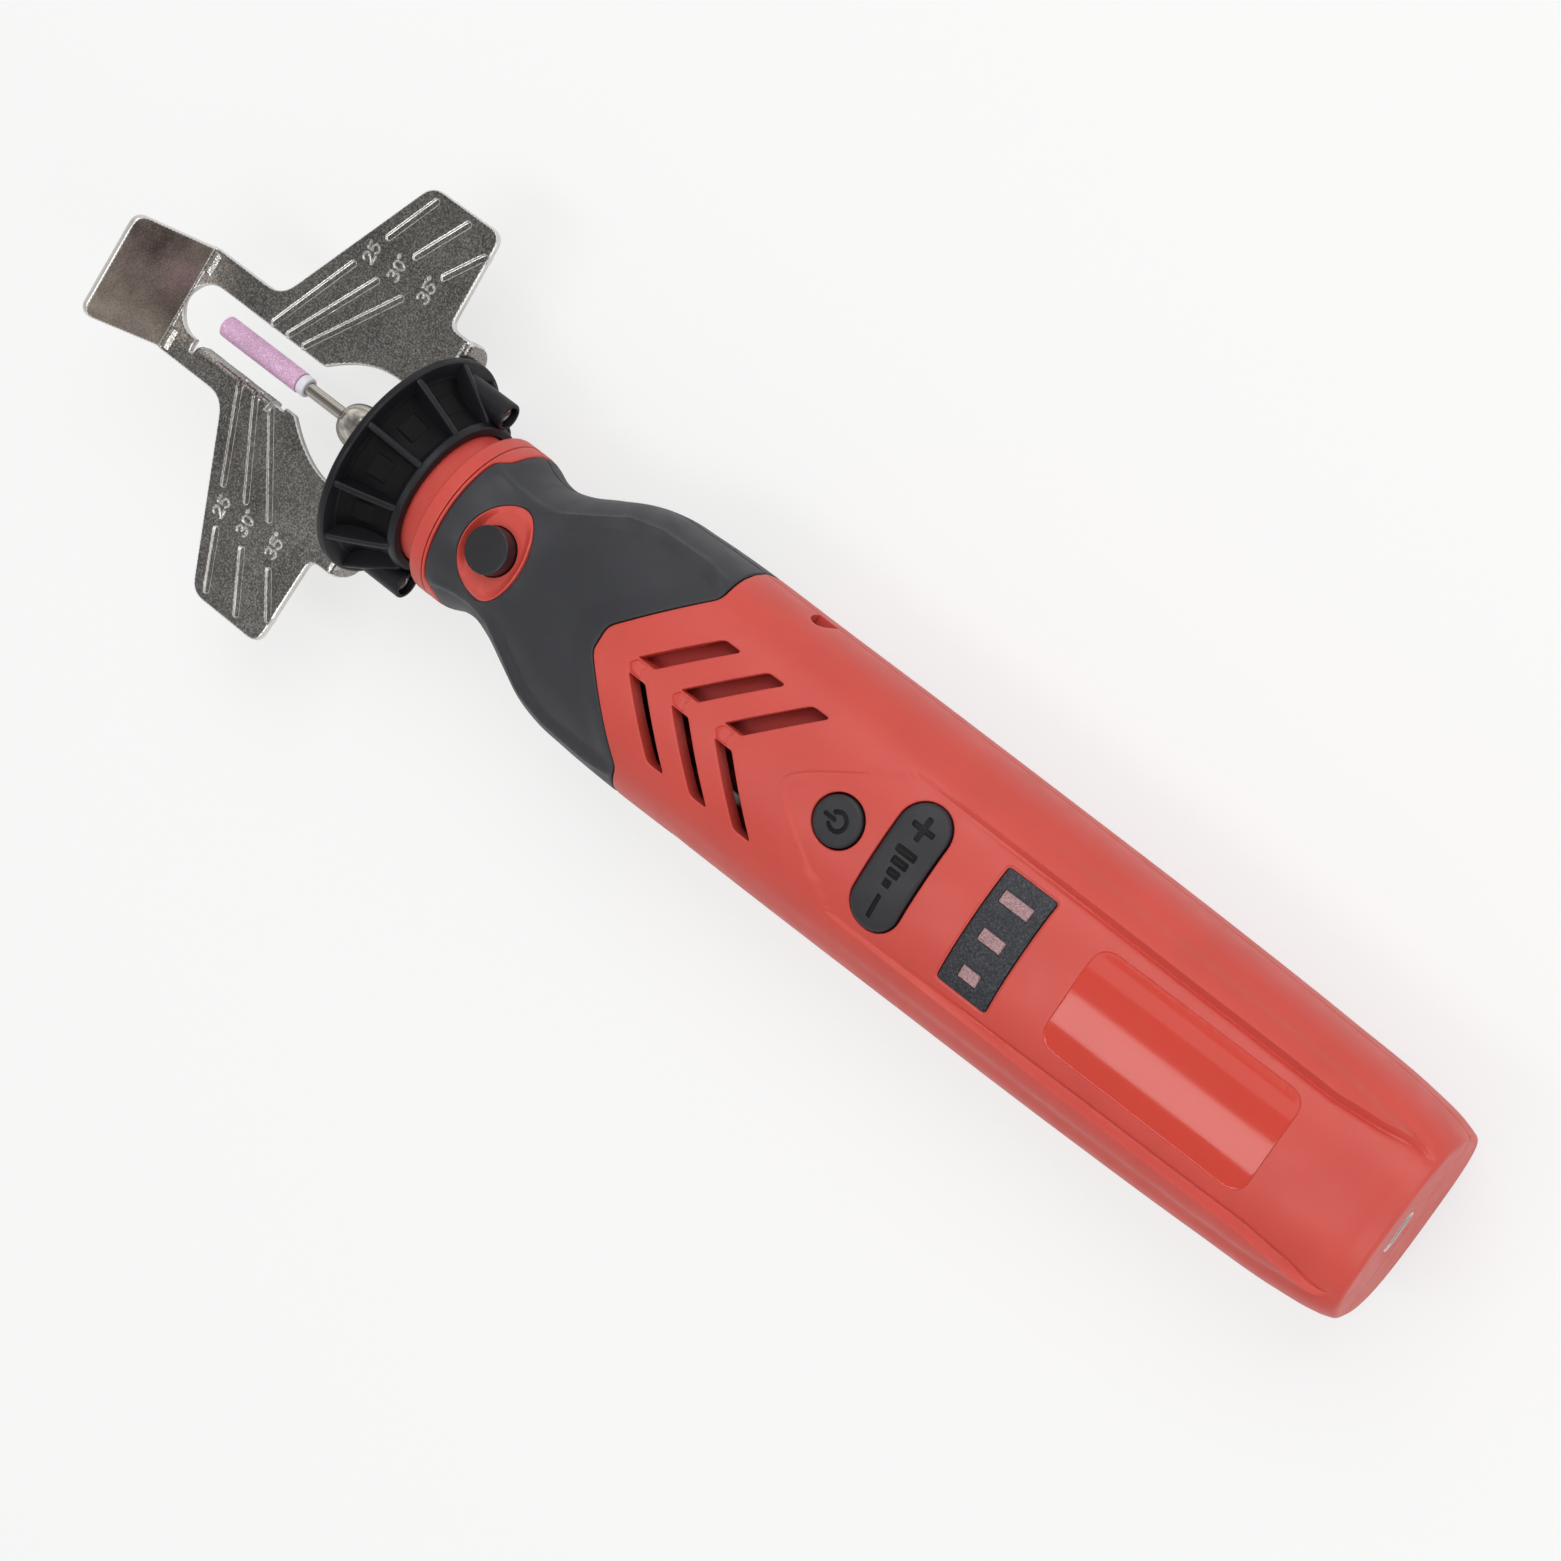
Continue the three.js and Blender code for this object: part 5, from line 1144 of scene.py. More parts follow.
slot_half, slot_front, slot_rear, slot_step_rear = 6.0, -58.8, -27.5, -30.5
neck_half, wing_reach, wing_root, wing_front, wing_rear = 12.5, 49.8, 28.3, -27.2, -7.3
opening_half, opening_x, opening_rear = 13.2, -19.25, -11
turn = np.linspace(math.pi / 2, 3 * math.pi / 2, 22)
nose_arc = [(slot_front + slot_half * math.cos(t), slot_half * math.sin(t), 0) for t in turn]
share = np.linspace(0, 1, 16)[1:-1]
bulge_x = (1 - share) ** 2 * slot_rear + 2 * share * (1 - share) * opening_x + share**2 * opening_rear
bulge_y = (1 - share) ** 2 * slot_half + 2 * share * (1 - share) * opening_half + share**2 * opening_half
bulge = [(x, y, 0) for x, y in zip(bulge_x, bulge_y)]
tab_edge, neck_front, neck_rear, ear_front = neck_half - 0.3, -64.6, -45.3, -6.6
wing = [(tab_end, tab_edge, 3), (tab_bend - 1.0, tab_edge, 0.3), (neck_front, neck_half, 0.3),
        (neck_rear, neck_half, 4), (wing_front, wing_reach, 3), (wing_rear, wing_reach, 3),
        (ear_front, wing_root, 2.2), (ear_end, wing_root, 7.8), (ear_end, opening_half, 7.2),
        (opening_rear, opening_half, 0.3)]
lip_notch, notch_level, slot_step = 0.8, lip_flat - 0.3, 6.8
lip_edge = [(lip_front - lip_notch, -slot_half, 0.2), (lip_front - lip_notch, notch_level, 0.35),
            (lip_front, notch_level, 0.02), (lip_front, lip_end, 0.5), (lip_rear, lip_end, 0.5),
            (lip_rear, notch_level, 0.02), (lip_rear + lip_notch, notch_level, 0.35),
            (lip_rear + lip_notch, -slot_step, 0.2), (slot_step_rear, -slot_step, 0.3),
            (slot_step_rear, -slot_half, 0.2)]
other_bulge, other_wing = [[(x, -y, r) for x, y, r in side] for side in (bulge, wing[::-1])]
blank = (wing + bulge[::-1] + [(slot_rear, slot_half, 0.5)] + nose_arc + lip_edge
         + [(slot_rear, -slot_half, 0.5)] + other_bulge + other_wing)
outline = stepped(outline_of(blank), 1.2)
plate_sheet = Sheet(outline, 0.42)
for inset, depth in ((0.06, 0.22), (0.2, 0.07), (0.42, 0.0), (0.62, 0.0)):
    plate_sheet.line(grown(outline, -inset), depth)
groove_half, groove_floor, groove_pitch, groove_first, groove_inner = 0.72, 0.34, 4.65, -43.3, 7.0
groove_breaks, groove_ends = (27.0, 35.8), (47.5, 47.5, 44.0)
groove_lips = ((0.34, 0.0), (0.16, 0.0), (0.04, 0.05), (-0.12, 0.29), (-0.24, groove_floor),
               (-0.4, groove_floor))
grooves = []
for index, degrees in enumerate((25, 30, 35)):
    foot = groove_first + index * groove_pitch
    for start, end in ((groove_inner, groove_breaks[0]), (groove_breaks[1], groove_ends[index])):
        line_x = [foot + (y - groove_inner) * math.tan(math.radians(degrees)) for y in (start, end)]
        for sign in (-1, 1):
            a, b = np.array([line_x[0], sign * start]), np.array([line_x[1], sign * end])
            along = (b - a) / np.linalg.norm(b - a)
            side_way = np.array([-along[1], along[0]])
            turn = np.linspace(-math.pi / 2, math.pi / 2, 9)[:, None]
            ends = [p + groove_half * way * (along * np.cos(turn) + side_way * np.sin(turn))
                    for p, way in ((b, 1), (a, -1))]
            bar = stepped(np.concatenate(ends), 1.4)
            for grow, level in groove_lips:
                plate_sheet.line(grown(bar, grow), 0.0, level=level)
            grooves.append(bar)
number_y, number_reach = 31.2, (2.6, 4.4)
numbers = [(x, sign * number_y, number_strokes(digits, degree, x, sign * number_y))
           for digits, degree, x in (("25", False, -31.6), ("30", True, -24.3), ("35", True, -15.6))
           for sign in (-1, 1)]


def at_number(points, x, y):
    """Which points lie round one number."""
    return (np.abs(points[:, 0] - x) < number_reach[0]) & (np.abs(points[:, 1] - y) < number_reach[1])


stroke_depth, tooth_depth, tooth_pitch = 0.22, 0.18, 0.5
bead_middle, bead_half, bead_height, bead_span = tab_flat + 0.4, 1.2, 0.45, (6.9, 11.7)


def plate_relief(points):
    """Depth pressed into the upper face: floors of the lines, strokes of the numbers, teeth of the lip."""
    depth = np.zeros(len(points))
    for bar in grooves:
        depth[inside(points, grown(bar, -0.2))] = groove_floor
    for x, y, strokes in numbers:
        close = at_number(points, x, y)
        if close.any():
            depth[close] = stroke_depth * (1 - smooth(0.1, 0.4, near_strokes(points[close], strokes)))
    teeth = (points[:, 1] > lip_flat + 1.9) & (points[:, 1] < lip_end - 0.4) \
        & (points[:, 0] > lip_front + 0.8) & (points[:, 0] < lip_rear - 0.8) & (points[:, 1] < 0)
    depth[teeth] = tooth_depth * (np.floor((points[teeth, 0] - lip_front) / tooth_pitch) % 2)
    across_bend = (np.abs(points[:, 1]) > bead_span[0]) & (np.abs(points[:, 1]) < bead_span[1])
    from_bead = np.clip(np.abs(points[:, 0] - bead_middle) / bead_half, 0, 1)
    return depth - across_bend * bead_height * np.cos(from_bead * math.pi / 2) * (from_bead < 1)


def fine_points(sheet, low, high, step, relief):
    """A fine grid in part of a sheet, whose relief is given as its level."""
    xs, ys = np.arange(low[0], high[0], step), np.arange(low[1], high[1], step)
    grid = np.stack(np.meshgrid(xs, ys, indexing="ij"), axis=-1).reshape(-1, 2)
    grid = grid[inside(grid, grown(sheet.outline, -0.5))]
    sheet.add(grid, 0.0, relief(grid))


for x, y, _ in numbers:
    fine_points(plate_sheet, (x - 2.3, y - 3.9), (x + 2.3, y + 3.9), 0.12, plate_relief)
fine_points(plate_sheet, (lip_front + 0.6, lip_flat + 0.1), (lip_rear - 0.6, lip_end - 0.3), 0.2,
            plate_relief)
fine_points(plate_sheet, (tab_flat - tab_radius * tab_angle - 0.3, -tab_edge), (bead_middle + 1.6, tab_edge),
            0.3, plate_relief)
ear_middle, ear_half = (opening_half + wing_root) / 2, 7.6
for sign in (-1, 1):
    fine_points(plate_sheet, (ear_flat - 0.2, sign * ear_middle - ear_half),
                (ear_flat + 1.9, sign * ear_middle + ear_half), 0.3, lambda grid: 0)
plate_sheet.fill(1.9, 1.9, clear=0.5)
triangles, points, depth, level = plate_sheet.cut()
pressed = np.where(np.isfinite(level), level, plate_relief(points))
middle, normal = fold(points[:, 0], points[:, 1])
upper_face = middle + normal * (plate_thick / 2 - depth - pressed)[:, None]
lower_face = middle - normal * (plate_thick / 2 - depth)[:, None]
vertices, faces = walled(triangles, upper_face, lower_face)
centre = points[triangles].mean(axis=1)
chosen = np.zeros(len(faces), int)
# Faces of the numbers, the walls of the lines, the rim and the sides take the lighter metal: painted
# highlight.
for x, y, strokes in numbers:
    close = np.flatnonzero(at_number(centre, x, y))
    chosen[close] = near_strokes(centre[close], strokes) < 0.2
upper_count = len(triangles)
# The tab's faces take the darker, warmer chrome: painted reflection and shade.
chosen[:upper_count][centre[:, 0] < tab_flat - 1.6] = 2
for bar in grooves:
    chosen[:upper_count][inside(centre, grown(bar, 0.1)) & ~inside(centre, grown(bar, -0.2))] = 1
chosen[:upper_count][~inside(centre, grown(outline, -0.3))] = 1
chosen[2 * upper_count:] = 1
guide_plate = mesh_object("stamped_guide_plate", vertices, faces, [chrome, highlight_metal, tab_reflection_chrome],
                          merge=0.0001, chosen=chosen)
settle_normals(guide_plate, 26)
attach(guide_plate, "guide")
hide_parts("guide_plate")

# Screws: plated pan heads with a hexagon socket. Two hold the plate's ears to the collar's bosses, and six
# close the shells from below.
head_edge, socket_sides, stem_points = 0.45, 6, 24
plated = finish_material("plated_steel", (0.55, 0.54, 0.52), 0.42, metallic=1.0, bump=0.15, bump_size=0.3)


def ring_faces(rings, count, first=0):
    """Quads between neighbouring rings of points."""
    return [(first + i * count + k, first + i * count + (k + 1) % count,
             first + (i + 1) * count + (k + 1) % count, first + (i + 1) * count + k)
            for i in range(rings - 1) for k in range(count)]


def screw_source(name, head, head_depth, shank, length, socket, socket_depth):
    """A screw whose head looks up from the origin, with its shank below."""
    rim = oval(0, 0, head, head, 40)
    hexagon = stepped(oval(0, 0, socket, socket, socket_sides), 0.3)
    sheet = Sheet(rim, head_edge)
    for shrink, depth in ((0.08, 0.26), (0.25, 0.1), (0.5, 0.03)):
        sheet.line(grown(rim, -shrink), depth)
    for grow, depth in ((0.1, 0.0), (0.0, 0.1), (-0.04, socket_depth)):
        sheet.line(grown(hexagon, grow), depth)
    triangles, points, depth, _ = sheet.cut()
    middle_socket = inside(points, grown(hexagon, -0.06))
    depth[middle_socket] = socket_depth
    top = np.stack([points[:, 0], points[:, 1], -depth], axis=1) + home
    under = np.stack([points[:, 0], points[:, 1], np.full(len(points), -head_depth)], axis=1) + home
    vertices, faces = walled(triangles, top, under)
    turn = np.arange(stem_points) * 2 * math.pi / stem_points
    rings = [(-head_depth + 0.2, shank), (-length + shank, shank), (-length, shank * 0.35)]
    base, last = len(vertices), len(vertices) + (len(rings) - 1) * stem_points
    stem = np.concatenate([np.stack([r * np.cos(turn), r * np.sin(turn), np.full(stem_points, z)], axis=1)
                           for z, r in rings]) + home
    faces += ring_faces(len(rings), stem_points, base)
    faces.append(tuple(range(base, base + stem_points)))
    faces.append(tuple(range(last + stem_points - 1, last - 1, -1)))
    piece = mesh_object(name, np.concatenate([vertices, stem]), faces, [plated])
    settle_normals(piece)
    return piece


ear_screw = screw_source("ear_screw", head=2.0, head_depth=1.6, shank=1.2, length=15.9, socket=0.95,
                         socket_depth=0.8)
ear_screw_rear = 13.7
collar_screws = copies("collar_screws", ear_screw,
                       [(ear_screw_rear, -ear_across, 0), (ear_screw_rear, ear_across, 0)],
                       (0, math.pi / 2, 0), (0, 0, 0), plated)
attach(collar_screws, "guide")
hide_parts("collar_screw_left", "collar_screw_right")
shell_screw = screw_source("shell_screw", head=2.6, head_depth=1.8, shank=1.4, length=19.4, socket=1.3,
                           socket_depth=1.0)
shell_screw_level = -11.1
housing_screws = copies("housing_screws", shell_screw, [(x, y, shell_screw_level) for x, y in screw_spots],
                        (math.pi, 0, 0), (0, 0, 0), plated)
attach(housing_screws, "shells")
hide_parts(*[f"housing_screw_{number}" for number in range(1, 7)])

# Grinding stone: a lilac bonded stick with a sparkle of grit, held by a white ferrule on a polished steel
# shank that the collet grips. The stick is pressed and fired, so its skin is uneven all round.
grit = finish_material("lilac_grit", (0.66, 0.40, 0.58), 0.85, speck=0.9, speck_size=0.3, bump=0.9,
                       bump_size=0.2, spread=0.1, grain=0.16, grain_size=0.34)
random = np.random.default_rng(7)
stone_front, stone_rear, stone_radius, grit_step, grit_height = -54.0, -31.2, 2.4, 0.3, 0.018
core_front, core_radius = -42.8, 1.5
stone_rings = [(stone_front, 0, 0), (stone_front, 1.0, 0), (stone_front, stone_radius, 0.5)] \
    + [(x, stone_radius, 0) for x in np.arange(stone_front + 0.8, stone_rear - 0.3, grit_step)] \
    + [(stone_rear, stone_radius, 0.2), (stone_rear, core_radius, 0), (core_front, core_radius, 0),
       (core_front, 0, 0)]


def grit_wave(along, angle, radius):
    """The rough skin of the stick, left out at its core."""
    return random.normal(0, grit_height, len(along)) * (radius > 1.8)


stone_stick = lathe("stone_stick", stone_rings, 72, [grit], sharp=80, wave=grit_wave)
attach(stone_stick, "spindle")
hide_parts("stone_abrasive")
ferrule_white = finish_material("ferrule_glaze", (0.80, 0.80, 0.85), 0.35, spread=0.02)
ferrule_front, ferrule_rear, ferrule_radius = -31.0, -29.0, 2.25
ferrule = lathe("stone_collar", [
    (ferrule_front, core_radius, 0), (ferrule_front, ferrule_radius, 0.25),
    (ferrule_rear, ferrule_radius, 0.5), (ferrule_rear, core_radius, 0)], 64, [ferrule_white])
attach(ferrule, "spindle")
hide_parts("stone_ferrule")
polished = finish_material("polished_steel", (0.62, 0.59, 0.54), 0.16, metallic=1.0, bump=0.04,
                           bump_size=0.5, edge_tint=0.3)
shank_front, shank_rear, shank_radius = -42.5, -2.0, 1.4
shank = lathe("polished_shank", [
    (shank_front, 0, 0), (shank_front, shank_radius, 0.2), (shank_rear, shank_radius, 0.2),
    (shank_rear, 0, 0)], 48, [polished])
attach(shank, "spindle")
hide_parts("stone_shank")

# Collet nut: turned from steel and polished, with a dome that the shank comes out of and a fluted grip
# behind it that ends just ahead of the collar. It screws onto the spindle and closes the collet.
flute_count, flute_depth, flute_front = 12, 0.45, -11.9
nut_front, nut_radius, nut_rear, nut_bore, nut_mouth = -17.8, 5.5, -0.8, 4.3, 1.55
dome_length, dome_start, dome_swell, dome_rear, mouth_wall = 5.6, 2.4, 2.7, -12.1, -15.8


def flutes(along, angle, radius):
    """Shallow flutes round the nut's grip."""
    wave = np.maximum(0, np.cos(angle * flute_count)) ** 3
    return -flute_depth * wave * smooth(flute_front, flute_front + 0.6, along) * (radius > 4.9)


dome = [(nut_front + dome_length * (1 - math.cos(t)), dome_start + dome_swell * math.sin(t), 0)
        for t in np.radians(np.arange(10, 91, 8))]
collet_nut = lathe("domed_collet_nut", [
    (nut_front, nut_mouth, 0.1), (nut_front, dome_start - 0.1, 0.2), *dome, (dome_rear, nut_radius, 0.25),
    (-8.0, nut_radius, 0), (nut_rear, nut_radius, 0.4), (nut_rear, nut_bore, 0.2), (-12.6, nut_bore, 0),
    (mouth_wall, 1.8, 0), (mouth_wall, nut_mouth, 0)], 144, [polished], wave=flutes)
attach(collet_nut, "nut")
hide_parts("collet_nut")

# Spindle lock: a black moulded button that stands in the red bowl, over its spring and its steel pin. Its
# flange stays under the shell, so that the spring can't push it out.
button_plastic = finish_material("button_plastic", (0.014, 0.014, 0.017), 0.36, speck=0.15, bump=0.2,
                                 bump_size=0.12)
flange_level, flange_top, flange_reach, cap_radius, cap_top, cap_bore, cap_roof = \
    10.9, 11.7, 5.7, 4.95, 18.8, 3.9, 17.9
lock_button = lathe("lock_cap", [
    (flange_level, cap_bore, 0), (flange_level, flange_reach, 0.1), (flange_top, flange_reach, 0.1),
    (flange_top, cap_radius, 0), (cap_top, cap_radius, 0.4), (cap_top, 0, 0), (cap_roof, 0, 0),
    (cap_roof, cap_bore, 0)], 96, [button_plastic], upright=lock_x)
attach(lock_button, "lock")
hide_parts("lock_button")

# Lock spring: one steel wire wound in seven turns round the pin, with closed ends. Its foot rests on the
# shell's bridge, and it shortens as the button goes down.
spring_foot, spring_top, coil_radius, wire_radius, coil_turns, lock_stroke = 8.4, 17.55, 2.7, 0.3, 7, 2.5
wire_sides, wire_steps = 10, coil_turns * 32
share = np.linspace(0, 1, wire_steps + 1)
end_rise = 2.3 * wire_radius / (spring_top - spring_foot)
rise = np.interp(share, [0, 1 / coil_turns, 1 - 1 / coil_turns, 1], [0, end_rise, 1 - end_rise, 1])
level = spring_foot + wire_radius + (spring_top - spring_foot - 2 * wire_radius) * rise
wound = share * coil_turns * 2 * math.pi
round_wire = np.arange(wire_sides) * 2 * math.pi / wire_sides
reach = coil_radius + wire_radius * np.cos(round_wire)[None, :]
coil = np.stack([lock_x + reach * np.cos(wound)[:, None], reach * np.sin(wound)[:, None],
                 level[:, None] + wire_radius * np.sin(round_wire)[None, :]], axis=2).reshape(-1, 3)
coil_faces = ring_faces(wire_steps + 1, wire_sides)
coil_faces.append(tuple(reversed(range(wire_sides))))
coil_faces.append(tuple(wire_steps * wire_sides + k for k in range(wire_sides)))
spring_wire = finish_material("spring_wire", (0.42, 0.41, 0.40), 0.3, metallic=1.0)
lock_coil = mesh_object("lock_coil", coil, coil_faces, [spring_wire])
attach(lock_coil, "shells")
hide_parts("lock_spring")
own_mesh(lock_coil)

# Power key and speed rocker: soft rubber keys that follow the crown and stand just proud of it, with their
# signs pressed in: a ring with a bar, a plus, a minus and four bars of growing length.
key_rubber = finish_material("key_rubber", (0.018, 0.018, 0.022), 0.48, speck=0.25, speck_size=0.14,
                             bump=0.3, bump_size=0.1, spread=0.08)
# The pressed signs are laid in near-black rubber: painted shade in their recesses.
sign_shade_rubber = finish_material("pressed_signs_painted_shade", (0.004, 0.004, 0.005), 0.8, spread=0.05)
key_proud, key_edge, sign_depth = 0.22, 0.7, 0.45


def key_piece(name, outline, foot, strokes, width, zones, material):
    """A key with a rolled edge whose top follows the crown, with strokes pressed into it."""
    def relief(points):
        return sign_depth * (1 - smooth(width * 0.7, width, near_strokes(points, strokes)))

    sheet = Sheet(outline, key_edge)
    for inset, depth in ((0.06, 0.42), (0.2, 0.2), (0.42, 0.05), (key_edge, 0.0)):
        sheet.line(grown(outline, -inset), depth)
    for low, high in zones:
        fine_points(sheet, low, high, 0.15, relief)
    sheet.fill(0.9, 0.9, clear=0.3)
    triangles, points, depth, _ = sheet.cut()
    near_edge = ~inside(points, grown(outline, 0.01 - key_edge))
    depth = depth + np.where(near_edge, 0, relief(points))
    crown_z = body_point(*on_sheet(points).T, np.zeros(len(points)), 1)[:, 2]
    top = np.stack([points[:, 0], points[:, 1], crown_z + key_proud - depth], axis=1)
    under = np.stack([points[:, 0], points[:, 1], np.full(len(points), foot)], axis=1)
    vertices, faces = walled(triangles, top, under)
    chosen = np.zeros(len(faces), int)
    # Faces of the pressed strokes take the near-black rubber: painted shade.
    chosen[:len(triangles)] = relief(points[triangles].mean(axis=1)) > 0.1
    piece = mesh_object(name, vertices, faces, [material, sign_shade_rubber], chosen=chosen)
    settle_normals(piece, 50)
    return piece


power_foot, rocker_foot, power_width, rocker_width = 13.4, 12.8, 0.44, 0.36
power_ring, power_gap = 1.85, 138
power_strokes = [bow(power_x + 0.2, 0, power_ring, power_ring, -power_gap, power_gap, 26),
                 np.array([(power_x - 2.7, 0.0), (power_x - 0.6, 0.0)])]
power_edge = oval(power_x, 0, power_radius, power_radius, 72)
power_key = key_piece("power_key", power_edge, power_foot, power_strokes, power_width,
                      [((power_x - 4, -3.2), (power_x + 3.2, 3.2))], key_rubber)
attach(power_key, "power")
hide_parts("power_button")
plus_y, minus_y = 8.5, -8.6
sign_half, sign_width = 2.2, 0.22
rocker_strokes = []
for shift in (-sign_width, sign_width):
    rocker_strokes += [np.array(ends, float) + (rocker_x, 0) for ends in (
        [(-sign_half, plus_y + shift), (sign_half, plus_y + shift)],
        [(shift, plus_y - sign_half), (shift, plus_y + sign_half)],
        [(shift / 2, minus_y - sign_half), (shift / 2, minus_y + sign_half)])]
bar_count, bar_first, bar_pitch, bar_shortest, bar_thin = 4, -3.6, 2.25, 0.5, 0.42
for index in range(bar_count):
    half = bar_shortest * (1 + index)
    corners = box_corners(-half, half, -bar_thin, bar_thin)
    rocker_strokes.append(np.array(corners + corners[:1]) + (rocker_x, bar_first + bar_pitch * index))
rocker_edge = capsule(rocker_x, rocker_half, rocker_reach)
rocker_key = key_piece("rocker_key", rocker_edge, rocker_foot, rocker_strokes, rocker_width,
                       [((rocker_x - 2.9, -11.3), (rocker_x + 2.9, 11.3))], key_rubber)
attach(rocker_key, "rocker")
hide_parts("speed_rocker")

# Display window: a coarse-grained black plate let into the crown, with three frosted lenses that carry the
# light of the lamps under it. The plate and each lens are moulded pieces of their own.
grained = finish_material("grained_window", (0.020, 0.022, 0.030), 0.34, speck=0.9, speck_size=0.4, bump=1.0,
                          bump_size=0.42, grain=0.8, grain_size=0.4, height=0.2)
frosted = finish_material("frosted_lens", (0.36, 0.21, 0.22), 0.55, speck=0.5, speck_size=0.34, bump=1.0,
                          bump_size=0.34, grain=0.4, grain_size=0.36, height=0.12)
window_drop, lens_drop, window_foot, lens_foot, window_play = 0.62, 0.68, 13.5, 9.4, 0.18
lens_middle, lens_half, lens_lengths = window_front + 5.6, 1.3, (4.1, 5.2, 6.6)
lens_pitch, lens_shift = 7.9, -0.4


def crown_plate(name, sheet, drop, foot, materials):
    """A plate under the crown, a drop below its surface, cut from a plan."""
    triangles, points, depth, _ = sheet.cut()
    crown_z = body_point(*on_sheet(points).T, np.zeros(len(points)), 1)[:, 2]
    top = np.stack([points[:, 0], points[:, 1], crown_z - drop - depth], axis=1)
    under = np.stack([points[:, 0], points[:, 1], np.full(len(points), foot)], axis=1)
    piece = mesh_object(name, *walled(triangles, top, under), materials)
    settle_normals(piece)
    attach(piece, "shells")
    return piece


window_corners = box_corners(window_front + window_play, window_rear - window_play,
                             window_play - window_half, window_half - window_play)
window_edge = rounded(window_corners, 0.7, arc=5)
window_sheet = Sheet(window_edge, 0.25)
for inset, depth in ((0.08, 0.12), (0.22, 0.04), (0.4, 0.0)):
    window_sheet.line(grown(window_edge, -inset), depth)
lens_edges = []
for index, length in enumerate(lens_lengths):
    lens_y = (index - 1) * lens_pitch + lens_shift
    corners = box_corners(lens_middle - length / 2, lens_middle + length / 2, lens_y - lens_half,
                          lens_y + lens_half)
    window_sheet.hole(grown(rounded(corners, 0.3, arc=4), 0.08), 0.08)
    lens_edges.append(rounded(corners, 0.25, arc=4))
window_sheet.fill(1.0, 1.0)
window_plate = crown_plate("window_plate", window_sheet, window_drop, window_foot, [grained])
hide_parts("display_window")
for index, edge in enumerate(lens_edges):
    lens_sheet = Sheet(edge, 0.15)
    lens_sheet.line(grown(edge, -0.12), 0.03)
    lens_sheet.line(grown(edge, -0.3), 0.0)
    lens_sheet.fill(0.8, 0.8)
    lens = crown_plate(f"frosted_bar_{index + 1}", lens_sheet, lens_drop, lens_foot, [frosted])
    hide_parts(f"light_bar_{index + 1}")

# Charging socket: a drawn and nickelled steel can with a rounded mouth, and in it a pale tongue with twelve
# gilt contacts. It ends flush with the tail's face.
socket_front, socket_rear = port_low.x, tail + 0.04
socket_half, socket_rise, can_wall = port_high.y, (port_high.z - port_low.z) / 2, 0.3


def port_ring(x, shrink):
    """One ring of the socket's can at x."""
    turn = np.linspace(-math.pi / 2, math.pi / 2, 14)
    radius, flat = socket_rise - shrink, socket_half - socket_rise
    y = np.concatenate([flat + radius * np.cos(turn), -flat - radius * np.cos(turn)])
    z = np.concatenate([radius * np.sin(turn), -radius * np.sin(turn)])
    return np.stack([np.full(len(y), x), y, port_level + z], axis=1)


can_profile = ((socket_front, 0), (socket_rear - 0.12, 0), (socket_rear - 0.03, 0.04), (socket_rear, 0.13),
               (socket_rear - 0.03, 0.24), (socket_rear - 0.15, can_wall), (socket_front + 1.2, can_wall))
can_rings = [port_ring(x, shrink) for x, shrink in can_profile]
ring_count = len(can_rings[0])
can_floor = (len(can_rings) - 1) * ring_count
can_faces = ring_faces(len(can_rings), ring_count)
can_faces.append(tuple(reversed(range(ring_count))))
can_faces.append(tuple(range(can_floor, can_floor + ring_count)))
nickel = finish_material("nickel_can", (0.95, 0.93, 0.90), 0.3, metallic=1.0)
socket_can = mesh_object("socket_can", np.concatenate(can_rings), can_faces, [nickel])
settle_normals(socket_can)
tongue_plastic = finish_material("tongue_plastic", (0.72, 0.68, 0.62), 0.4, bump=0.1)
tongue_front, tongue_rear, tongue_half, tongue_wide = socket_front + 0.9, socket_rear - 1.2, 0.36, 6.6
tongue = slab("socket_tongue", [
    (tongue_front, -tongue_half, 0), (tongue_rear, -tongue_half, 0.15), (tongue_rear, tongue_half, 0.15),
    (tongue_front, tongue_half, 0)], tongue_wide, [tongue_plastic], edge=0.12, centre=(0, 0, port_level))
contact_gold = finish_material("contact_gold", (0.75, 0.52, 0.2), 0.3, metallic=1.0)
contact_front, contact_rear, contact_half, contact_wide = socket_front + 1.6, socket_rear - 1.5, 0.4, 0.26
contact_count, contact_pitch = 12, 0.5
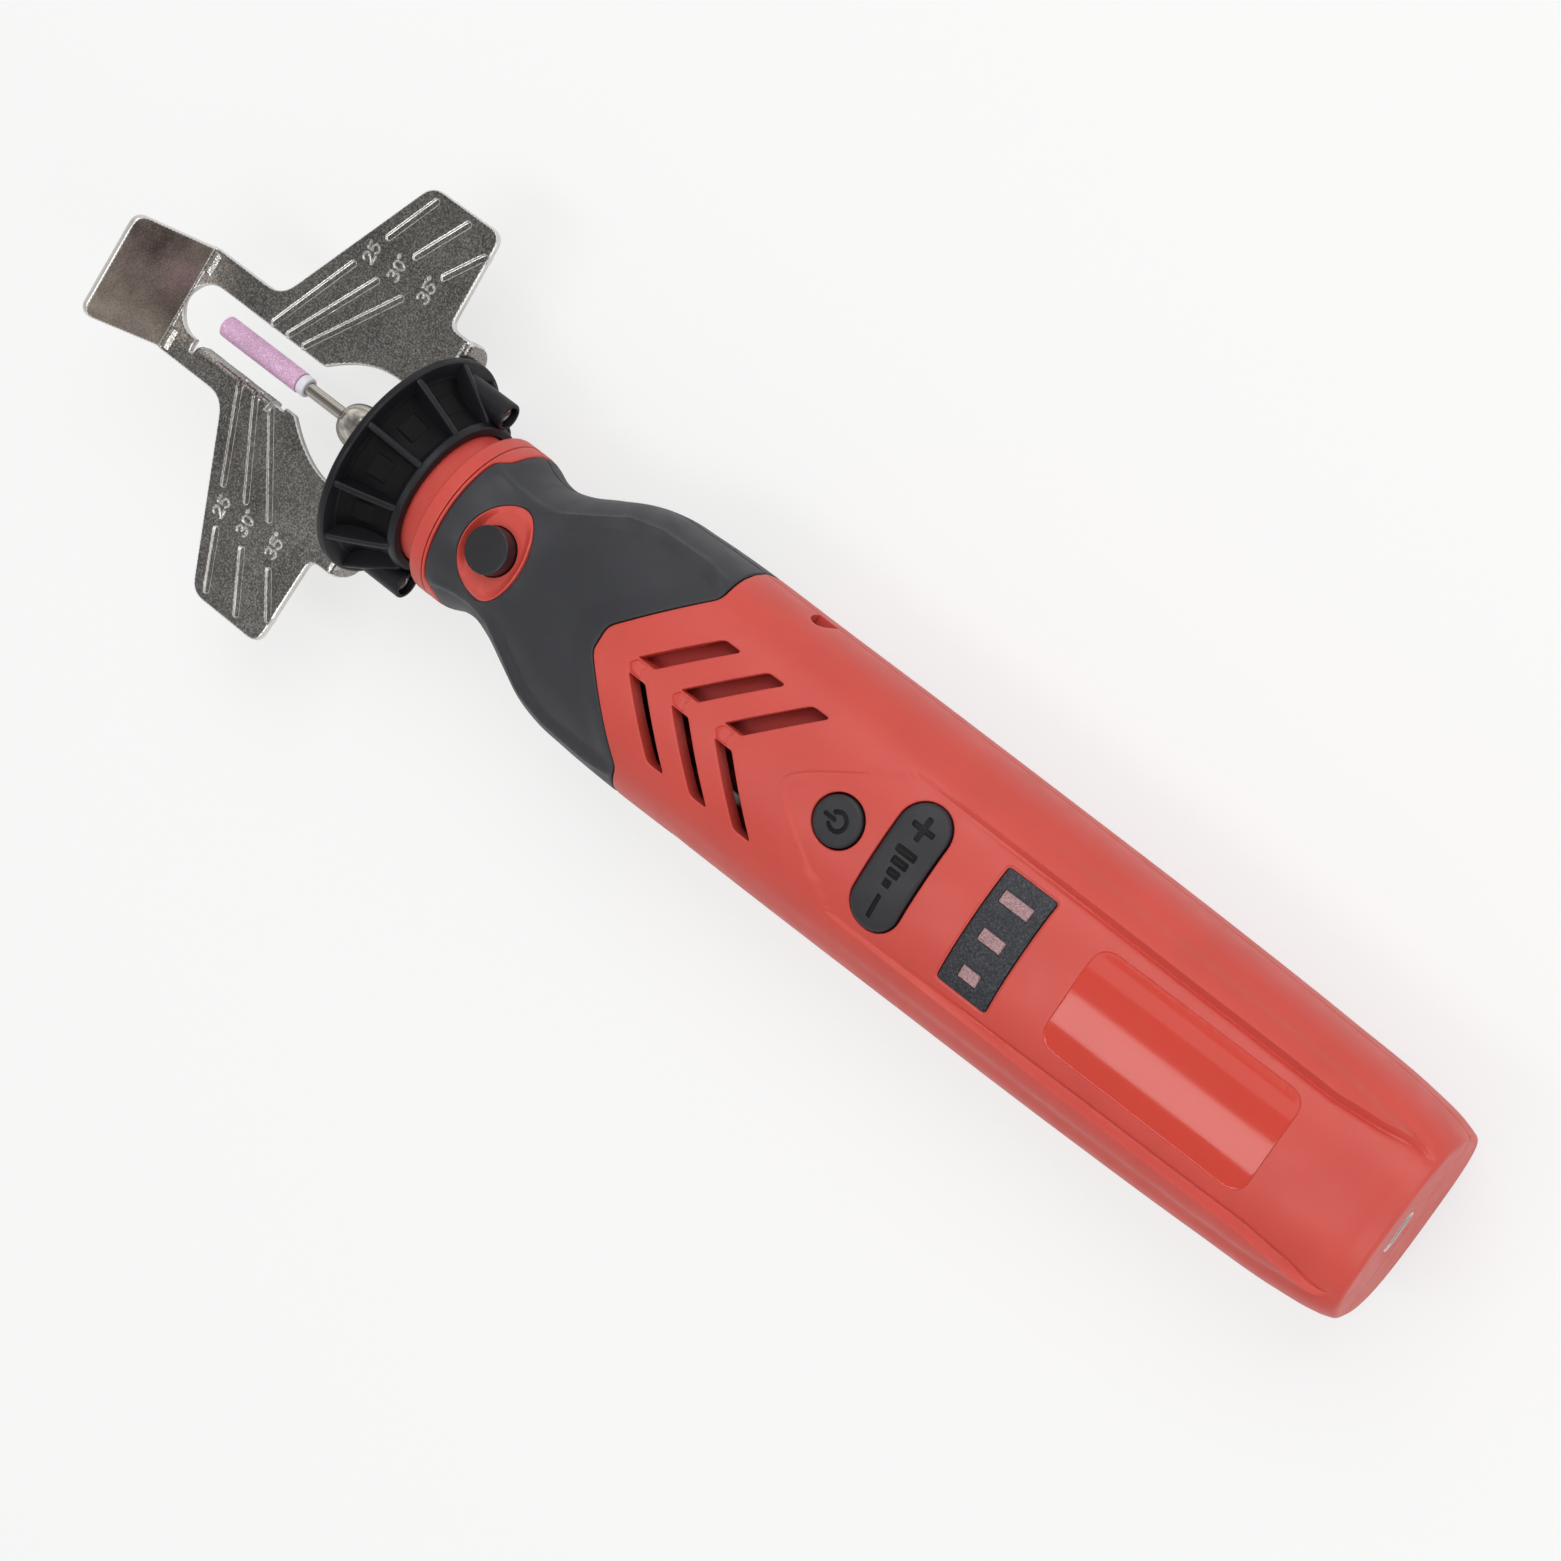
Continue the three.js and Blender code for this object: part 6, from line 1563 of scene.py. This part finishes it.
contact = slab("socket_contact", [
    (contact_front, -contact_half, 0), (contact_rear, -contact_half, 0.02),
    (contact_rear, contact_half, 0.02), (contact_front, contact_half, 0)], contact_wide,
    [contact_gold], edge=0.02, centre=home)
contact_places = [(0, (k - (contact_count - 1) / 2) * contact_pitch, port_level)
                  for k in range(contact_count)]
contacts = copies("socket_contacts", contact, contact_places, (0, 0, 0), (0, 0, 0), contact_gold)
for piece in (socket_can, tongue, contacts):
    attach(piece, "shells")
    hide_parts("usb_socket")

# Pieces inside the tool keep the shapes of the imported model, and get finishes of their own: a ground steel
# spindle in two bearings, a drawn motor can round a copper-wound armature and two ferrite magnets, boards
# under green mask and two cells in blue sleeves.
inner_finishes = {
    finish_material("ground_steel", (0.50, 0.50, 0.49), 0.3, metallic=1.0, bump=0.1, bump_size=0.3):
        ["spindle", "collet", "front_bearing", "rear_bearing", "motor_shaft", "lock_pin"],
    finish_material("drawn_can", (0.26, 0.24, 0.23), 0.3, metallic=1.0, bump=0.12, bump_size=0.6):
        ["motor_can"],
    finish_material("nickel_strap", (0.58, 0.56, 0.50), 0.38, metallic=1.0): ["cell_strap"],
    finish_material("enamelled_copper", (0.42, 0.16, 0.06), 0.35, metallic=0.8, bump=0.5, bump_size=0.5):
        ["motor_armature"],
    finish_material("pressed_ferrite", (0.045, 0.045, 0.048), 0.6, bump=0.4, bump_size=0.3):
        ["magnet_left", "magnet_right"],
    finish_material("coupling_rubber", (0.02, 0.02, 0.022), 0.6, bump=0.3): ["shaft_coupling"],
    finish_material("switch_plastic", (0.016, 0.016, 0.018), 0.45, bump=0.1):
        ["cooling_fan", "motor_end_cap", "power_switch", "speed_up_switch", "speed_down_switch"],
    finish_material("solder_mask", (0.012, 0.085, 0.03), 0.35, speck=0.5, speck_size=0.9, coat=0.3):
        ["control_board", "charge_board"],
    finish_material("cell_sleeve", (0.03, 0.13, 0.40), 0.38, spread=0.04, coat=0.2):
        ["battery_cell_left", "battery_cell_right"],
}
for material, names in inner_finishes.items():
    for name in names:
        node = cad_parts[name]
        node.data.materials.clear()
        node.data.materials.append(material)
